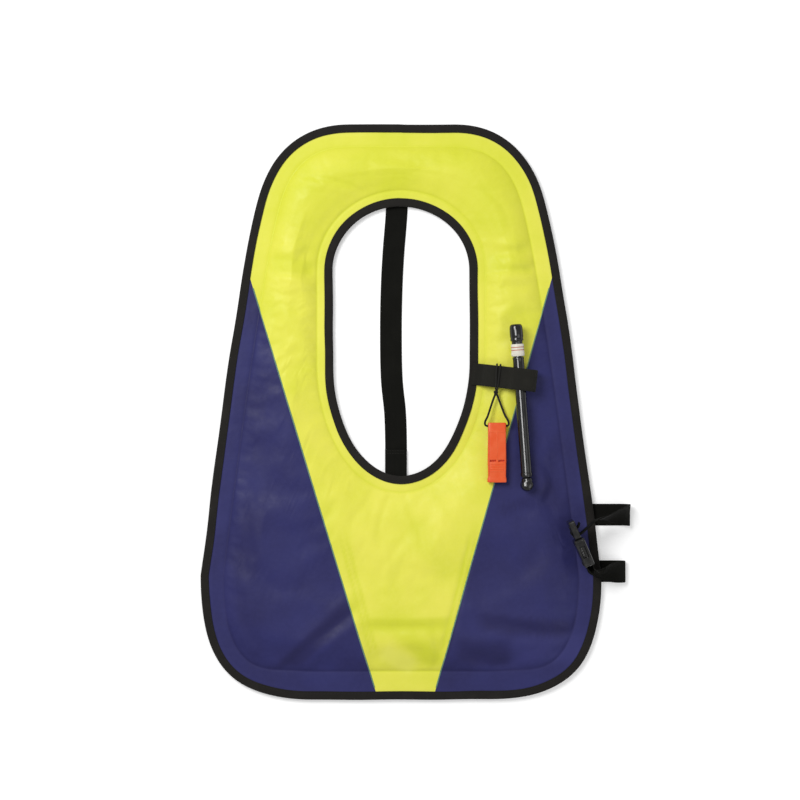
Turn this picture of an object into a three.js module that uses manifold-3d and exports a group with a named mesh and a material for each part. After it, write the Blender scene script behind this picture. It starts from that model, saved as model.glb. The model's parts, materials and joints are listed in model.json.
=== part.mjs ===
// Snorkelling life vest (horse-collar buoyancy vest), lying face up with its air let out.
// It is welded from a front and a back sheet, bound with tape, and has an oral inflation
// hose held by an elastic keeper, a whistle on a lanyard, a back strap and a waist belt.
//
// Units are millimetres. +X is to the right of the vest as it lies face up, +Y runs from
// the hem to the collar, +Z is up. z = 0 is the surface that the vest lies on, and the
// origin is on the underside of the back strap, on the vest's centre line at mid length.

import * as THREE from 'three';
import { mergeVertices } from 'three/addons/utils/BufferGeometryUtils.js';
import Module from 'manifold-3d';

const wasm = await Module();
wasm.setup();

// ---------------------------------------------------------------- driving dimensions

const GAP = 0.3; // space kept between touching pieces

// Outline of the vest, outer edge of the binding
const HALF_LENGTH = 330;
const COLLAR_FLAT = 60; // half width of the straight run at the top of the collar
const SHOULDER = { x: 164, y: 244 };
const HIP = { x: 230, y: -187 };
const HEM_FLAT = 98; // half width of the straight run at the hem
const OUTLINE_STEPS = 38; // per half

// Neck opening, inner edge of its binding: two half ellipses and straight sides
const NECK_HALF_WIDTH = 78;
const NECK_TOP = { centre: 163, rise: 72.5 };
const NECK_LOW = { centre: 57.5, drop: 131 };
const NECK_STEPS = 40;

// Heights of the layers, from the surface up
const WEB = 1.2; // webbing thickness
const WEB_WIDTH = 25;
const TAPE = 0.8; // binding tape thickness
const BINDING_WIDTH = 9.6;
const BINDING_LOW = 4.5;
const SHEET = 0.85; // coated fabric thickness
const BACK_LOW = BINDING_LOW + TAPE + GAP;
const FRONT_LOW = BACK_LOW + SHEET + GAP;
const FRONT_HIGH = FRONT_LOW + SHEET;
const BINDING_HIGH = FRONT_HIGH + GAP + TAPE;
const SHEET_EDGE = TAPE + 0.4; // how far the sheets stop inside the outline

// Air chamber
const WELD_OUTER = 26; // weld line, in from the outline
const WELD_NECK = 18.6; // weld line, out from the neck opening
const PUFF_RISE = 10.7;
const PUFF_RUN = 21;
const CROWN = FRONT_HIGH + PUFF_RISE; // top of the front panel

// Yellow panel: straight edges from the sides down to the hem
const COLOUR_TOP_Y = 150;
const COLOUR_TOP_HALF = 172;
const COLOUR_HEM_LEFT = -30;
const COLOUR_HEM_RIGHT = 40;

// Fold between chest and collar, over the shoulders
const FOLD_Y = 152;
const FOLD_Z = FRONT_LOW - GAP / 2;
const FOLD_HALF_ANGLE = THREE.MathUtils.degToRad(55);

// Inflation hose
const HOSE_BASE = { x: 143.75, y: -82.8 };
const HOSE_TILT = THREE.MathUtils.degToRad(4.14);
const HOSE_Z = 28;
const HOSE_RADIUS = 6.25;
const HOSE_BORE = 4.25;
const HOSE_END = 146;

// Elastic keeper
const KEEPER = { x: 87.4, y: 43.1 };
const KEEPER_TILT = THREE.MathUtils.degToRad(-6.8);
const KEEPER_WIDTH = 25;
const ELASTIC = 1.2;

// Whistle and lanyard
const WHISTLE = { x: 109.3, y: -46, z: CROWN + 6.3 };
const CORD_RADIUS = 1.2;
const KNOT = { x: 108.3, y: 22, z: CROWN + 3.4, radius: 3 };

// Waist buckle, standing on edge at the right side
const BUCKLE = { x: 213.3, y: -173.7, z: 35.5 };
const BUCKLE_TILT = THREE.MathUtils.degToRad(23.2);
const BELT_Y = -118;
const TAB_Y = -183;

// ---------------------------------------------------------------- materials

function material(color, roughness, metalness = 0) {
  return new THREE.MeshStandardMaterial({ color, roughness, metalness });
}

const YELLOW = material(0xe8e442, 0.45);
const NAVY = material(0x3a3965, 0.5);
const BLACK_TAPE = material(0x262421, 0.85);
const BLACK_WEB = material(0x23231e, 0.8);
const BLACK_ELASTIC = material(0x25241e, 0.9);
const BLACK_PLASTIC = material(0x1b1b1b, 0.35);
const BLACK_RUBBER = material(0x1e1e1e, 0.4);
const ORANGE = material(0xe9642d, 0.4);
const PALE_RING = material(0xd8d2c4, 0.3);
const STEEL = material(0xb8b8b8, 0.3, 1);

// ---------------------------------------------------------------- solids and booleans

function toSolid(geometry) {
  const bare = geometry.clone();
  bare.deleteAttribute('normal');
  bare.deleteAttribute('uv');
  const merged = mergeVertices(bare, 1e-4);
  return new wasm.Manifold(new wasm.Mesh({
    numProp: 3,
    vertProperties: Float32Array.from(merged.attributes.position.array),
    triVerts: Uint32Array.from(merged.index.array),
  }));
}

function toGeometry(solid) {
  const mesh = solid.getMesh();
  const geometry = new THREE.BufferGeometry();
  geometry.setAttribute('position', new THREE.BufferAttribute(mesh.vertProperties, 3));
  geometry.setIndex(new THREE.BufferAttribute(mesh.triVerts, 1));
  geometry.computeVertexNormals();
  return geometry;
}

// ---------------------------------------------------------------- outlines

// Clockwise loop of points, from the middle of the collar round the right side
function vestOutline() {
  const half = new THREE.Path();
  half.moveTo(0, HALF_LENGTH);
  half.lineTo(COLLAR_FLAT, HALF_LENGTH);
  half.bezierCurveTo(2 * COLLAR_FLAT, HALF_LENGTH, 151, 293, SHOULDER.x, SHOULDER.y);
  half.bezierCurveTo(185, 167, 212, -46, HIP.x, HIP.y);
  half.bezierCurveTo(HIP.x, -287, 198, -HALF_LENGTH, HEM_FLAT, -HALF_LENGTH);
  half.lineTo(0, -HALF_LENGTH);
  const right = half.getSpacedPoints(OUTLINE_STEPS);
  const left = right.slice(1, -1).reverse().map((p) => new THREE.Vector2(-p.x, p.y));
  return [...right, ...left];
}

// Clockwise loop of points round the neck opening
function neckOutline() {
  const path = new THREE.Path();
  path.absellipse(0, NECK_TOP.centre, NECK_HALF_WIDTH, NECK_TOP.rise, Math.PI, 0, true);
  path.lineTo(NECK_HALF_WIDTH, NECK_LOW.centre);
  path.absellipse(0, NECK_LOW.centre, NECK_HALF_WIDTH, NECK_LOW.drop, 0, Math.PI, true);
  path.lineTo(-NECK_HALF_WIDTH, NECK_TOP.centre);
  return path.getSpacedPoints(NECK_STEPS).slice(0, -1);
}

// Moves a clockwise loop inwards by a distance, or outwards if it is negative
function inset(points, distance) {
  return points.map((point, i) => {
    const before = points[(i + points.length - 1) % points.length];
    const after = points[(i + 1) % points.length];
    const along = after.clone().sub(before).normalize();
    return new THREE.Vector2(point.x + along.y * distance, point.y - along.x * distance);
  });
}

const OUTLINE = vestOutline();
const NECK = neckOutline();

// A clockwise outline with a clockwise hole, which a shape needs the other way round
function shapeOf(points, holePoints) {
  const shape = new THREE.Shape(points);
  if (holePoints) shape.holes.push(new THREE.Path(holePoints.slice().reverse()));
  return shape;
}

function plate(points, holePoints, low, high) {
  const geometry = new THREE.ExtrudeGeometry(shapeOf(points, holePoints), {
    depth: high - low,
    bevelEnabled: false,
  });
  return geometry.translate(0, 0, low);
}

// Lens with rounded edges about the height of the front sheet
function lens(extra, rise) {
  const depth = 0.4;
  const geometry = new THREE.ExtrudeGeometry(
    shapeOf(inset(OUTLINE, WELD_OUTER + extra), inset(NECK, -WELD_NECK - extra)),
    { depth, bevelThickness: rise, bevelSize: PUFF_RUN, bevelOffset: -PUFF_RUN, bevelSegments: 3 },
  );
  return geometry.translate(0, 0, FRONT_HIGH - depth);
}

// Extrudes a shape drawn in X and Z along Y, centred on y = 0
function extrudeAlongY(shape, width) {
  const geometry = new THREE.ExtrudeGeometry(shape, {
    depth: width,
    bevelEnabled: false,
    curveSegments: 12,
  });
  geometry.translate(0, 0, -width / 2);
  return geometry.rotateX(Math.PI / 2);
}

// Everything on one side of the fold, below a face that leans away from it
function foldSide(sign) {
  const top = 80;
  const start = sign * GAP / 2;
  const lean = Math.tan(FOLD_HALF_ANGLE) * (top - FOLD_Z);
  const far = sign * 2 * HALF_LENGTH;
  const outline = [[far, -10], [start, -10], [start, FOLD_Z], [start + sign * lean, top], [far, top]];
  const shape = new THREE.Shape(outline.map(([y, z]) => new THREE.Vector2(FOLD_Y + y, z)));
  const geometry = new THREE.ExtrudeGeometry(shape, { depth: 600, bevelEnabled: false });
  geometry.translate(0, 0, -300);
  const basis = new THREE.Matrix4().makeBasis(
    new THREE.Vector3(0, 1, 0),
    new THREE.Vector3(0, 0, 1),
    new THREE.Vector3(1, 0, 0),
  );
  return toSolid(geometry.applyMatrix4(basis));
}

const CHEST_SIDE = foldSide(-1);
const COLLAR_SIDE = foldSide(1);

// ---------------------------------------------------------------- scene helpers

const vest = new THREE.Group();

function add(name, geometry, look, parent = vest) {
  const mesh = new THREE.Mesh(geometry, look);
  mesh.name = name;
  parent.add(mesh);
  return mesh;
}

// ---------------------------------------------------------------- front and back sheets

function frontShell() {
  const flange = plate(inset(OUTLINE, SHEET_EDGE), inset(NECK, -SHEET_EDGE), FRONT_LOW, FRONT_HIGH);
  const outside = toSolid(lens(0, PUFF_RISE));
  const inside = toSolid(lens(1, PUFF_RISE - SHEET));
  const aboveFlange = toSolid(plate(OUTLINE, null, FRONT_LOW, CROWN + 5));
  return toSolid(flange).add(outside.intersect(aboveFlange)).subtract(inside);
}

// Upright block that covers the vest between two slanted edges
function colourBlock(topLeft, topRight, hemLeft, hemRight) {
  const fall = COLOUR_TOP_Y + HALF_LENGTH - 13; // the edges are given at 13 above the hem
  const at = (top, hem, y) => top + (hem - top) * (COLOUR_TOP_Y - y) / fall;
  const high = 300;
  const low = -400;
  const points = [
    new THREE.Vector2(at(topLeft, hemLeft, high), high),
    new THREE.Vector2(at(topRight, hemRight, high), high),
    new THREE.Vector2(at(topRight, hemRight, low), low),
    new THREE.Vector2(at(topLeft, hemLeft, low), low),
  ];
  return toSolid(plate(points, null, 0, 60));
}

// A hole down through the front panel for the neck of the hose inlet
function inletHole() {
  const cylinder = new THREE.CylinderGeometry(5.7, 5.7, 20, 20);
  cylinder.rotateX(Math.PI / 2);
  return toSolid(cylinder.translate(HOSE_BASE.x, HOSE_BASE.y, CROWN));
}

function buildSheets() {
  const shell = frontShell();
  const chest = shell.intersect(CHEST_SIDE);
  const half = GAP / 2;
  const far = 700;
  const yellow = colourBlock(
    -COLOUR_TOP_HALF + half, COLOUR_TOP_HALF - half, COLOUR_HEM_LEFT + half, COLOUR_HEM_RIGHT - half,
  );
  const left = colourBlock(-far, -COLOUR_TOP_HALF - half, -far, COLOUR_HEM_LEFT - half);
  const right = colourBlock(COLOUR_TOP_HALF + half, far, COLOUR_HEM_RIGHT + half, far);
  add('front_panel_yellow', toGeometry(chest.intersect(yellow)), YELLOW);
  add('front_panel_navy_left', toGeometry(chest.intersect(left)), NAVY);
  add('front_panel_navy_right', toGeometry(chest.intersect(right).subtract(inletHole())), NAVY);
  add('front_panel_collar', toGeometry(shell.intersect(COLLAR_SIDE)), YELLOW);

  const back = toSolid(
    plate(inset(OUTLINE, SHEET_EDGE), inset(NECK, -SHEET_EDGE), BACK_LOW, BACK_LOW + SHEET),
  );
  add('back_panel_chest', toGeometry(back.intersect(CHEST_SIDE)), NAVY);
  add('back_panel_collar', toGeometry(back.intersect(COLLAR_SIDE)), NAVY);
}

// ---------------------------------------------------------------- binding tape

function buildBindings() {
  const slotLow = BINDING_LOW + TAPE;
  const slotHigh = BINDING_HIGH - TAPE;
  const edge = toSolid(plate(OUTLINE, inset(OUTLINE, BINDING_WIDTH), BINDING_LOW, BINDING_HIGH))
    .subtract(toSolid(plate(inset(OUTLINE, TAPE), null, slotLow, slotHigh)));
  const around = inset(NECK, -BINDING_WIDTH - 5);
  const neck = toSolid(plate(inset(NECK, -BINDING_WIDTH), NECK, BINDING_LOW, BINDING_HIGH))
    .subtract(toSolid(plate(around, inset(NECK, -TAPE), slotLow, slotHigh)));
  add('edge_binding_chest', toGeometry(edge.intersect(CHEST_SIDE)), BLACK_TAPE);
  add('edge_binding_collar', toGeometry(edge.intersect(COLLAR_SIDE)), BLACK_TAPE);
  add('neck_binding_chest', toGeometry(neck.intersect(CHEST_SIDE)), BLACK_TAPE);
  add('neck_binding_collar', toGeometry(neck.intersect(COLLAR_SIDE)), BLACK_TAPE);
}

// ---------------------------------------------------------------- webbing

// A flat band along a smooth route that never dips below the surface at z = 0.
// Each stop is [x, y, z, width direction x, y, z].
function ribbon(stops, width, thickness, steps) {
  const route = new THREE.CatmullRomCurve3(
    stops.map((s) => new THREE.Vector3(s[0], s[1], s[2])), false, 'centripetal',
  );
  const widths = new THREE.CatmullRomCurve3(
    stops.map((s) => new THREE.Vector3(s[3], s[4], s[5])), false, 'catmullrom',
  );
  const geometry = new THREE.BoxGeometry(1, 1, 1, 1, 1, steps);
  const position = geometry.attributes.position;
  const point = new THREE.Vector3();
  for (let i = 0; i < position.count; i += 1) {
    const t = THREE.MathUtils.clamp(position.getZ(i) + 0.5, 0, 1);
    const tangent = route.getTangent(t);
    const across = widths.getPoint(t);
    across.addScaledVector(tangent, -across.dot(tangent)).normalize();
    const normal = new THREE.Vector3().crossVectors(tangent, across);
    point.copy(route.getPoint(t));
    point.addScaledVector(across, position.getX(i) * width);
    point.addScaledVector(normal, position.getY(i) * thickness);
    position.setXYZ(i, point.x, point.y, Math.max(point.z, 0));
  }
  geometry.deleteAttribute('normal');
  geometry.deleteAttribute('uv');
  const merged = mergeVertices(geometry, 1e-4);
  merged.computeVertexNormals();
  return merged;
}

// Places stops given in a group's own frame into the vest's frame
function placed(stops, group) {
  group.updateMatrixWorld(true);
  const turn = new THREE.Matrix4().extractRotation(group.matrixWorld);
  return stops.map((s) => {
    const point = new THREE.Vector3(s[0], s[1], s[2]).applyMatrix4(group.matrixWorld);
    const across = new THREE.Vector3(s[3], s[4], s[5]).applyMatrix4(turn);
    return [...point.toArray(), ...across.toArray()];
  });
}

function flatBlock(x, y, zLow, zHigh, width, length, corner = 1.5) {
  const shape = new THREE.Shape();
  const w = width / 2 - corner;
  const l = length / 2 - corner;
  shape.absarc(w, l, corner, 0, Math.PI / 2);
  shape.absarc(-w, l, corner, Math.PI / 2, Math.PI);
  shape.absarc(-w, -l, corner, Math.PI, 1.5 * Math.PI);
  shape.absarc(w, -l, corner, 1.5 * Math.PI, 2 * Math.PI);
  const geometry = new THREE.ExtrudeGeometry(shape, {
    depth: zHigh - zLow,
    bevelEnabled: false,
    curveSegments: 3,
  });
  return geometry.translate(x, y, zLow);
}

const FIRST_LAYER = WEB / 2; // middle of webbing that lies on the surface
const SECOND_LAYER = FIRST_LAYER + WEB + GAP;
const THIRD_LAYER = SECOND_LAYER + WEB + GAP;
const STRAP_END_X = -5.8; // the back strap's middle where it loops round the belt

function buildBackStrap() {
  const collarStops = [
    [-10.4, FOLD_Y + GAP / 2, FIRST_LAYER, 1, 0, 0],
    [-10.4, FOLD_Y + 4, FIRST_LAYER, 1, 0, 0],
    [-8.6, 184, FIRST_LAYER, 1, 0, 0],
    [-4.8, 235, FIRST_LAYER, 1, 0, 0],
    [-4.3, 300, FIRST_LAYER, 1, 0, 0],
  ];
  add('back_strap_collar', ribbon(collarStops, WEB_WIDTH, WEB, 8), BLACK_WEB);

  const loopEnd = BELT_Y - WEB_WIDTH / 2 - 1.2;
  const chestStops = [
    [-10.4, FOLD_Y - GAP / 2, FIRST_LAYER, 1, 0, 0],
    [-10.4, FOLD_Y - 4, FIRST_LAYER, 1, 0, 0],
    [-11.6, 101, FIRST_LAYER, 1, 0, 0],
    [-10.6, 37, FIRST_LAYER, 1, 0, 0],
    [-6.9, 0, FIRST_LAYER, 1, 0, 0],
    [STRAP_END_X, -32, FIRST_LAYER, 1, 0, 0],
    [STRAP_END_X, -80, FIRST_LAYER, 1, 0, 0],
    [STRAP_END_X, loopEnd + 4, FIRST_LAYER, 1, 0, 0],
    [STRAP_END_X, loopEnd + 0.4, FIRST_LAYER + 0.04, 1, 0, 0],
    [STRAP_END_X, loopEnd - 1.3, SECOND_LAYER - 0.7, 1, 0, 0],
    [STRAP_END_X, loopEnd - 1.3, SECOND_LAYER + 0.7, 1, 0, 0],
    [STRAP_END_X, loopEnd + 0.4, THIRD_LAYER - 0.04, 1, 0, 0],
    [STRAP_END_X, loopEnd + 4, THIRD_LAYER, 1, 0, 0],
    [STRAP_END_X, -82, THIRD_LAYER, 1, 0, 0],
    [STRAP_END_X, -43, THIRD_LAYER, 1, 0, 0],
  ];
  add('back_strap_chest', ribbon(chestStops, WEB_WIDTH, WEB, 64), BLACK_WEB);

  const patchLow = WEB + GAP;
  add('strap_patch_collar', flatBlock(-4.3, 284, patchLow, BACK_LOW - GAP, WEB_WIDTH, 30), BLACK_WEB);
}

// Three-bar slider between the two layers of the back strap
function buildSlider() {
  const slider = new THREE.Group();
  slider.position.set(STRAP_END_X, -88, 0);
  vest.add(slider);
  const shape = shapeOf(rectangle(33, 22), rectangle(WEB_WIDTH + 1, 17));
  const rails = new THREE.ExtrudeGeometry(shape, { depth: 3.6, bevelEnabled: false }).translate(0, 0, 0.4);
  const bars = [-9.25, 0, 9.25].map((y) => flatBlock(0, y, WEB + GAP, WEB + GAP + WEB, 32, 2.6, 0.5));
  const clearance = new THREE.BoxGeometry(WEB_WIDTH + 1, 40, 10);
  const frame = bars.reduce(
    (solid, bar) => solid.add(toSolid(bar)),
    toSolid(rails).subtract(toSolid(clearance)),
  );
  add('strap_slider', toGeometry(frame), BLACK_PLASTIC, slider);
}

function rectangle(width, height) {
  const w = width / 2;
  const h = height / 2;
  return [[w, h], [w, -h], [-w, -h], [-w, h]].map(([x, y]) => new THREE.Vector2(x, y));
}

// ---------------------------------------------------------------- waist buckle

// The buckle's own frame: X through its thickness, Y from socket to ladder lock, Z its width
const buckle = new THREE.Group();
buckle.position.set(BUCKLE.x, BUCKLE.y, BUCKLE.z);
buckle.rotation.z = BUCKLE_TILT;
vest.add(buckle);

const SOCKET_LENGTH = 33;
const SOCKET_HALF_WIDTH = 16.8;
const SOCKET_HALF_THICK = 5.9;

function block(width, length, height, x = 0, y = 0, z = 0) {
  return new THREE.BoxGeometry(width, length, height).translate(x, y, z);
}

// Plate with rounded corners in Y and Z, bevelled all round, of the given thickness in X
function roundedPlate(halfThick, yLow, yHigh, halfWidth, corner, bevel) {
  const shape = new THREE.Shape();
  const low = yLow + corner;
  const high = yHigh - corner;
  const side = halfWidth - corner;
  shape.absarc(high, side, corner, 0, Math.PI / 2);
  shape.absarc(low, side, corner, Math.PI / 2, Math.PI);
  shape.absarc(low, -side, corner, Math.PI, 1.5 * Math.PI);
  shape.absarc(high, -side, corner, 1.5 * Math.PI, 2 * Math.PI);
  const geometry = new THREE.ExtrudeGeometry(shape, {
    depth: 2 * (halfThick - bevel),
    bevelThickness: bevel,
    bevelSize: bevel,
    bevelOffset: -bevel,
    bevelSegments: 2,
    curveSegments: 4,
  });
  geometry.translate(0, 0, bevel - halfThick);
  const basis = new THREE.Matrix4().makeBasis(
    new THREE.Vector3(0, 1, 0),
    new THREE.Vector3(0, 0, 1),
    new THREE.Vector3(1, 0, 0),
  );
  return geometry.applyMatrix4(basis);
}

function buildSocket() {
  const body = toSolid(roundedPlate(SOCKET_HALF_THICK, 0, SOCKET_LENGTH, SOCKET_HALF_WIDTH, 3, 1.4));
  const pocket = toSolid(block(6.4, 25.5, 30.4, 0, SOCKET_LENGTH + 0.5 - 12.75, 0));
  const windows = toSolid(block(6.4, 13.5, 60, 0, 17.5, 0));
  const strapSlot = toSolid(block(30, 4, 26, 0, 4.7, 0));
  const barRelief = toSolid(block(8, 6, 26, 6.2, 0, 0)).add(toSolid(block(8, 6, 26, -6.2, 0, 0)));
  const socket = body.subtract(pocket).subtract(windows).subtract(strapSlot).subtract(barRelief);
  add('buckle_socket', toGeometry(socket), BLACK_PLASTIC, buckle);
}

function buildPlug() {
  const low = SOCKET_LENGTH + GAP;
  const frame = toSolid(roundedPlate(3.6, low, 55, SOCKET_HALF_WIDTH, 2.5, 0.9));
  const slotOne = toSolid(block(20, 3.9, 26.4, 0, 36.9, 0));
  const slotTwo = toSolid(block(20, 4, 26.4, 0, 44, 0));
  const barRelief = toSolid(block(4, 14, 26.4, -4.1, 42, 0)).add(toSolid(block(4, 14, 26.4, 4.1, 42, 0)));
  const tongue = toSolid(block(5, 22, 6, 0, low - 10, 0));
  const plug = frame.subtract(slotOne).subtract(slotTwo).subtract(barRelief).add(tongue);
  add('buckle_plug', toGeometry(plug), BLACK_PLASTIC, buckle);

  for (const side of [1, -1]) {
    const shank = toSolid(block(5, 21, 2.6, 0, low - 0.3 - 10.5, side * 9.4));
    const button = toSolid(block(5.2, 12, 4.4, 0, 17.5, side * 12.6));
    const foot = toSolid(block(5, 2, 6, 0, 12.5, side * 11));
    const arm = shank.add(button).add(foot);
    add(side > 0 ? 'buckle_arm_upper' : 'buckle_arm_lower', toGeometry(arm), BLACK_PLASTIC, buckle);
  }
}

// The belt's end goes in through the first slot, behind the middle bar and out again
function buildBelt() {
  const threaded = [
    [19.5, 41.6, 0, 0, 0, 1],
    [12.5, 39.2, 0, 0, 0, 1],
    [6, 37.1, 0, 0, 0, 1],
    [0, 36.9, 0, 0, 0, 1],
    [-3.4, 37.9, 0, 0, 0, 1],
    [-4.4, 40.5, 0, 0, 0, 1],
    [-3.2, 43, 0, 0, 0, 1],
    [0, 44, 0, 0, 0, 1],
    [5, 44.9, 0, 0, 0, 1],
    [9, 49, 0, 0, 0, 1],
  ];
  add('waist_belt_end', ribbon(threaded, WEB_WIDTH, WEB, 30), BLACK_WEB, buckle);

  const leaving = placed([[20.3, 41.9, 0, 0, 0, 1], [27, 44.2, 0, 0, 0, 1]], buckle);
  const run = FIRST_LAYER;
  const stops = [
    ...leaving,
    [236, -118.6, 30, 0, 0.3, 0.95],
    [247, -117.6, 24, 0, 0.62, 0.78],
    [257, -117.6, 16, 0, 0.9, 0.44],
    [262, -118, 8, 0, 1, 0.1],
    [257, BELT_Y, 2.4, 0, 1, 0],
    [249, BELT_Y, run + 0.2, 0, 1, 0],
    [243, BELT_Y, run, 0, 1, 0],
    [150, BELT_Y, run, 0, 1, 0],
    [44, BELT_Y, run, 0, 1, 0],
    [36, BELT_Y, run + 0.1, 0, 1, 0],
    [16, BELT_Y, SECOND_LAYER - 0.1, 0, 1, 0],
    [8, BELT_Y, SECOND_LAYER, 0, 1, 0],
    [-20, BELT_Y, SECOND_LAYER, 0, 1, 0],
    [-28, BELT_Y, SECOND_LAYER - 0.1, 0, 1, 0],
    [-48, BELT_Y, run + 0.1, 0, 1, 0],
    [-56, BELT_Y, run, 0, 1, 0],
    [-196, BELT_Y, run, 0, 1, 0],
  ];
  add('waist_belt', ribbon(stops, WEB_WIDTH, WEB, 84), BLACK_WEB);
  add('belt_patch_left', flatBlock(-181, BELT_Y, WEB + GAP, BACK_LOW - GAP, 30, WEB_WIDTH), BLACK_WEB);
}

// Short strap from the socket's bar, over the edge and under to its patch
function buildTab() {
  const looped = placed([
    [0.2, -12.5, 0, 0, 0, 1],
    [-2.4, -6, 0, 0, 0, 1],
    [-3.6, -0.5, 0, 0, 0, 1],
    [-3.2, 3.2, 0, 0, 0, 1],
    [0, 4.9, 0, 0, 0, 1],
    [3.2, 3.2, 0, 0, 0, 1],
    [3.6, -0.5, 0, 0, 0, 1],
    [3.4, -6, 0, 0, 0, 1],
  ], buckle);
  const stops = [
    ...looped,
    [226, -180.5, 28, 0, 0.45, 0.9],
    [239, -182.6, 19, 0, 0.85, 0.5],
    [250, TAB_Y, 12.5, 0, 1, 0.1],
    [257, TAB_Y, 6.5, 0, 1, 0],
    [252, TAB_Y, 1.9, 0, 1, 0],
    [245, TAB_Y, FIRST_LAYER + 0.15, 0, 1, 0],
    [239, TAB_Y, FIRST_LAYER, 0, 1, 0],
    [205, TAB_Y, FIRST_LAYER, 0, 1, 0],
    [165, TAB_Y, FIRST_LAYER, 0, 1, 0],
  ];
  add('belt_tab', ribbon(stops, WEB_WIDTH, WEB, 76), BLACK_WEB);
  add('belt_patch_right', flatBlock(181, TAB_Y, WEB + GAP, BACK_LOW - GAP, 30, WEB_WIDTH), BLACK_WEB);
}

// ---------------------------------------------------------------- inflation hose and valve

// The hose's own frame: Y along the hose from its inlet to the mouthpiece
const hose = new THREE.Group();
hose.position.set(HOSE_BASE.x, HOSE_BASE.y, HOSE_Z);
hose.rotation.z = HOSE_TILT;
vest.add(hose);

// Turned part about the hose's own axis, its profile as [radius, distance] pairs
function turned(profile, segments = 20) {
  return new THREE.LatheGeometry(profile.map(([r, y]) => new THREE.Vector2(r, y)), segments);
}

function upright(geometry) {
  return geometry.rotateX(Math.PI / 2);
}

function buildInlet() {
  const seat = CROWN + GAP - HOSE_Z;
  const roof = HOSE_RADIUS;
  const dome = [
    [0, seat], [7.6, seat], [7.6, seat + 2], [6.9, seat + 3], [6.9, roof - 4], [5, roof - 1], [0, roof],
  ];
  const spigot = new THREE.CylinderGeometry(3.2, 3.2, 13, 20).translate(0, 6.5, 0);
  const bore = new THREE.CylinderGeometry(2, 2, 14.5, 16).translate(0, 6.8, 0);
  const drop = new THREE.CylinderGeometry(2.6, 2.6, 12, 16);
  const elbow = toSolid(upright(turned(dome)))
    .add(toSolid(spigot))
    .subtract(toSolid(bore))
    .subtract(toSolid(upright(drop).translate(0, 0, seat + 5)));
  add('inlet_elbow', toGeometry(elbow), BLACK_RUBBER, hose);

  const under = CROWN - SHEET - GAP - HOSE_Z;
  const flange = [
    [2.6, under - 1.2], [16, under - 1.2], [16, under], [5.2, under], [5.2, seat - GAP], [2.6, seat - GAP],
    [2.6, under - 1.2],
  ];
  add('inlet_flange', upright(turned(flange)), BLACK_PLASTIC, hose);
}

function buildHose() {
  const start = 8.6;
  const tube = [
    [HOSE_BORE, start], [HOSE_RADIUS, start], [HOSE_RADIUS, HOSE_END], [HOSE_BORE, HOSE_END],
    [HOSE_BORE, start],
  ];
  add('inflation_hose', turned(tube), BLACK_RUBBER, hose);

  const seat = HOSE_END + 1;
  const body = [
    [2.6, HOSE_END - 18], [4, HOSE_END - 18], [4, HOSE_END + GAP], [5.4, HOSE_END + GAP], [5.4, 157.5],
    [3.8, 157.5], [3.8, seat + 2], [1.5, seat + 2], [1.5, seat], [2.6, seat], [2.6, HOSE_END - 18],
  ];
  add('valve_body', turned(body), BLACK_PLASTIC, hose);

  const turns = 5;
  const coil = new THREE.CatmullRomCurve3(Array.from({ length: turns * 8 + 1 }, (_, i) => {
    const angle = i * Math.PI / 4;
    const rise = (161 - 149.8) * i / (turns * 8);
    return new THREE.Vector3(3.2 * Math.cos(angle), 149.9 + rise, 3.2 * Math.sin(angle));
  }));
  const wire = new THREE.Shape().absarc(0, 0, 0.3, 0, 2 * Math.PI);
  const spring = new THREE.ExtrudeGeometry(wire, {
    steps: turns * 8, extrudePath: coil, curveSegments: 3, bevelEnabled: false,
  });
  add('valve_spring', spring, STEEL, hose);

  const ring = [
    [5.7, 146.8], [7.4, 146.8], [7.4, 160.6], [6.5, 160.6], [6.5, 153], [5.7, 153], [5.7, 146.8],
  ];
  add('lock_ring', turned(ring), PALE_RING, hose);
}

function buildMouthpiece() {
  const profile = [
    [2.8, 161.5], [5.7, 161.5], [5.7, 157], [6.2, 157], [6.2, 164], [7.5, 164.8], [7.5, 178.5], [7, 181.5],
    [5.6, 183.1], [3.4, 183.3], [2.8, 182.7], [2.8, 161.5],
  ];
  add('mouthpiece', turned(profile), BLACK_RUBBER, hose);
  const stem = [
    [0, 144.8], [2.3, 144.8], [2.3, 146.6], [0.9, 147], [0.9, 163], [2.5, 163], [2.5, 164.4], [0, 164.4],
  ];
  add('valve_poppet', turned(stem, 16), BLACK_PLASTIC, hose);
}

// ---------------------------------------------------------------- elastic keeper

// The keeper's own frame: X along the band from the neck binding, Y across it
const keeper = new THREE.Group();
keeper.position.set(KEEPER.x, KEEPER.y, 0);
keeper.rotation.z = KEEPER_TILT;
vest.add(keeper);

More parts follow.
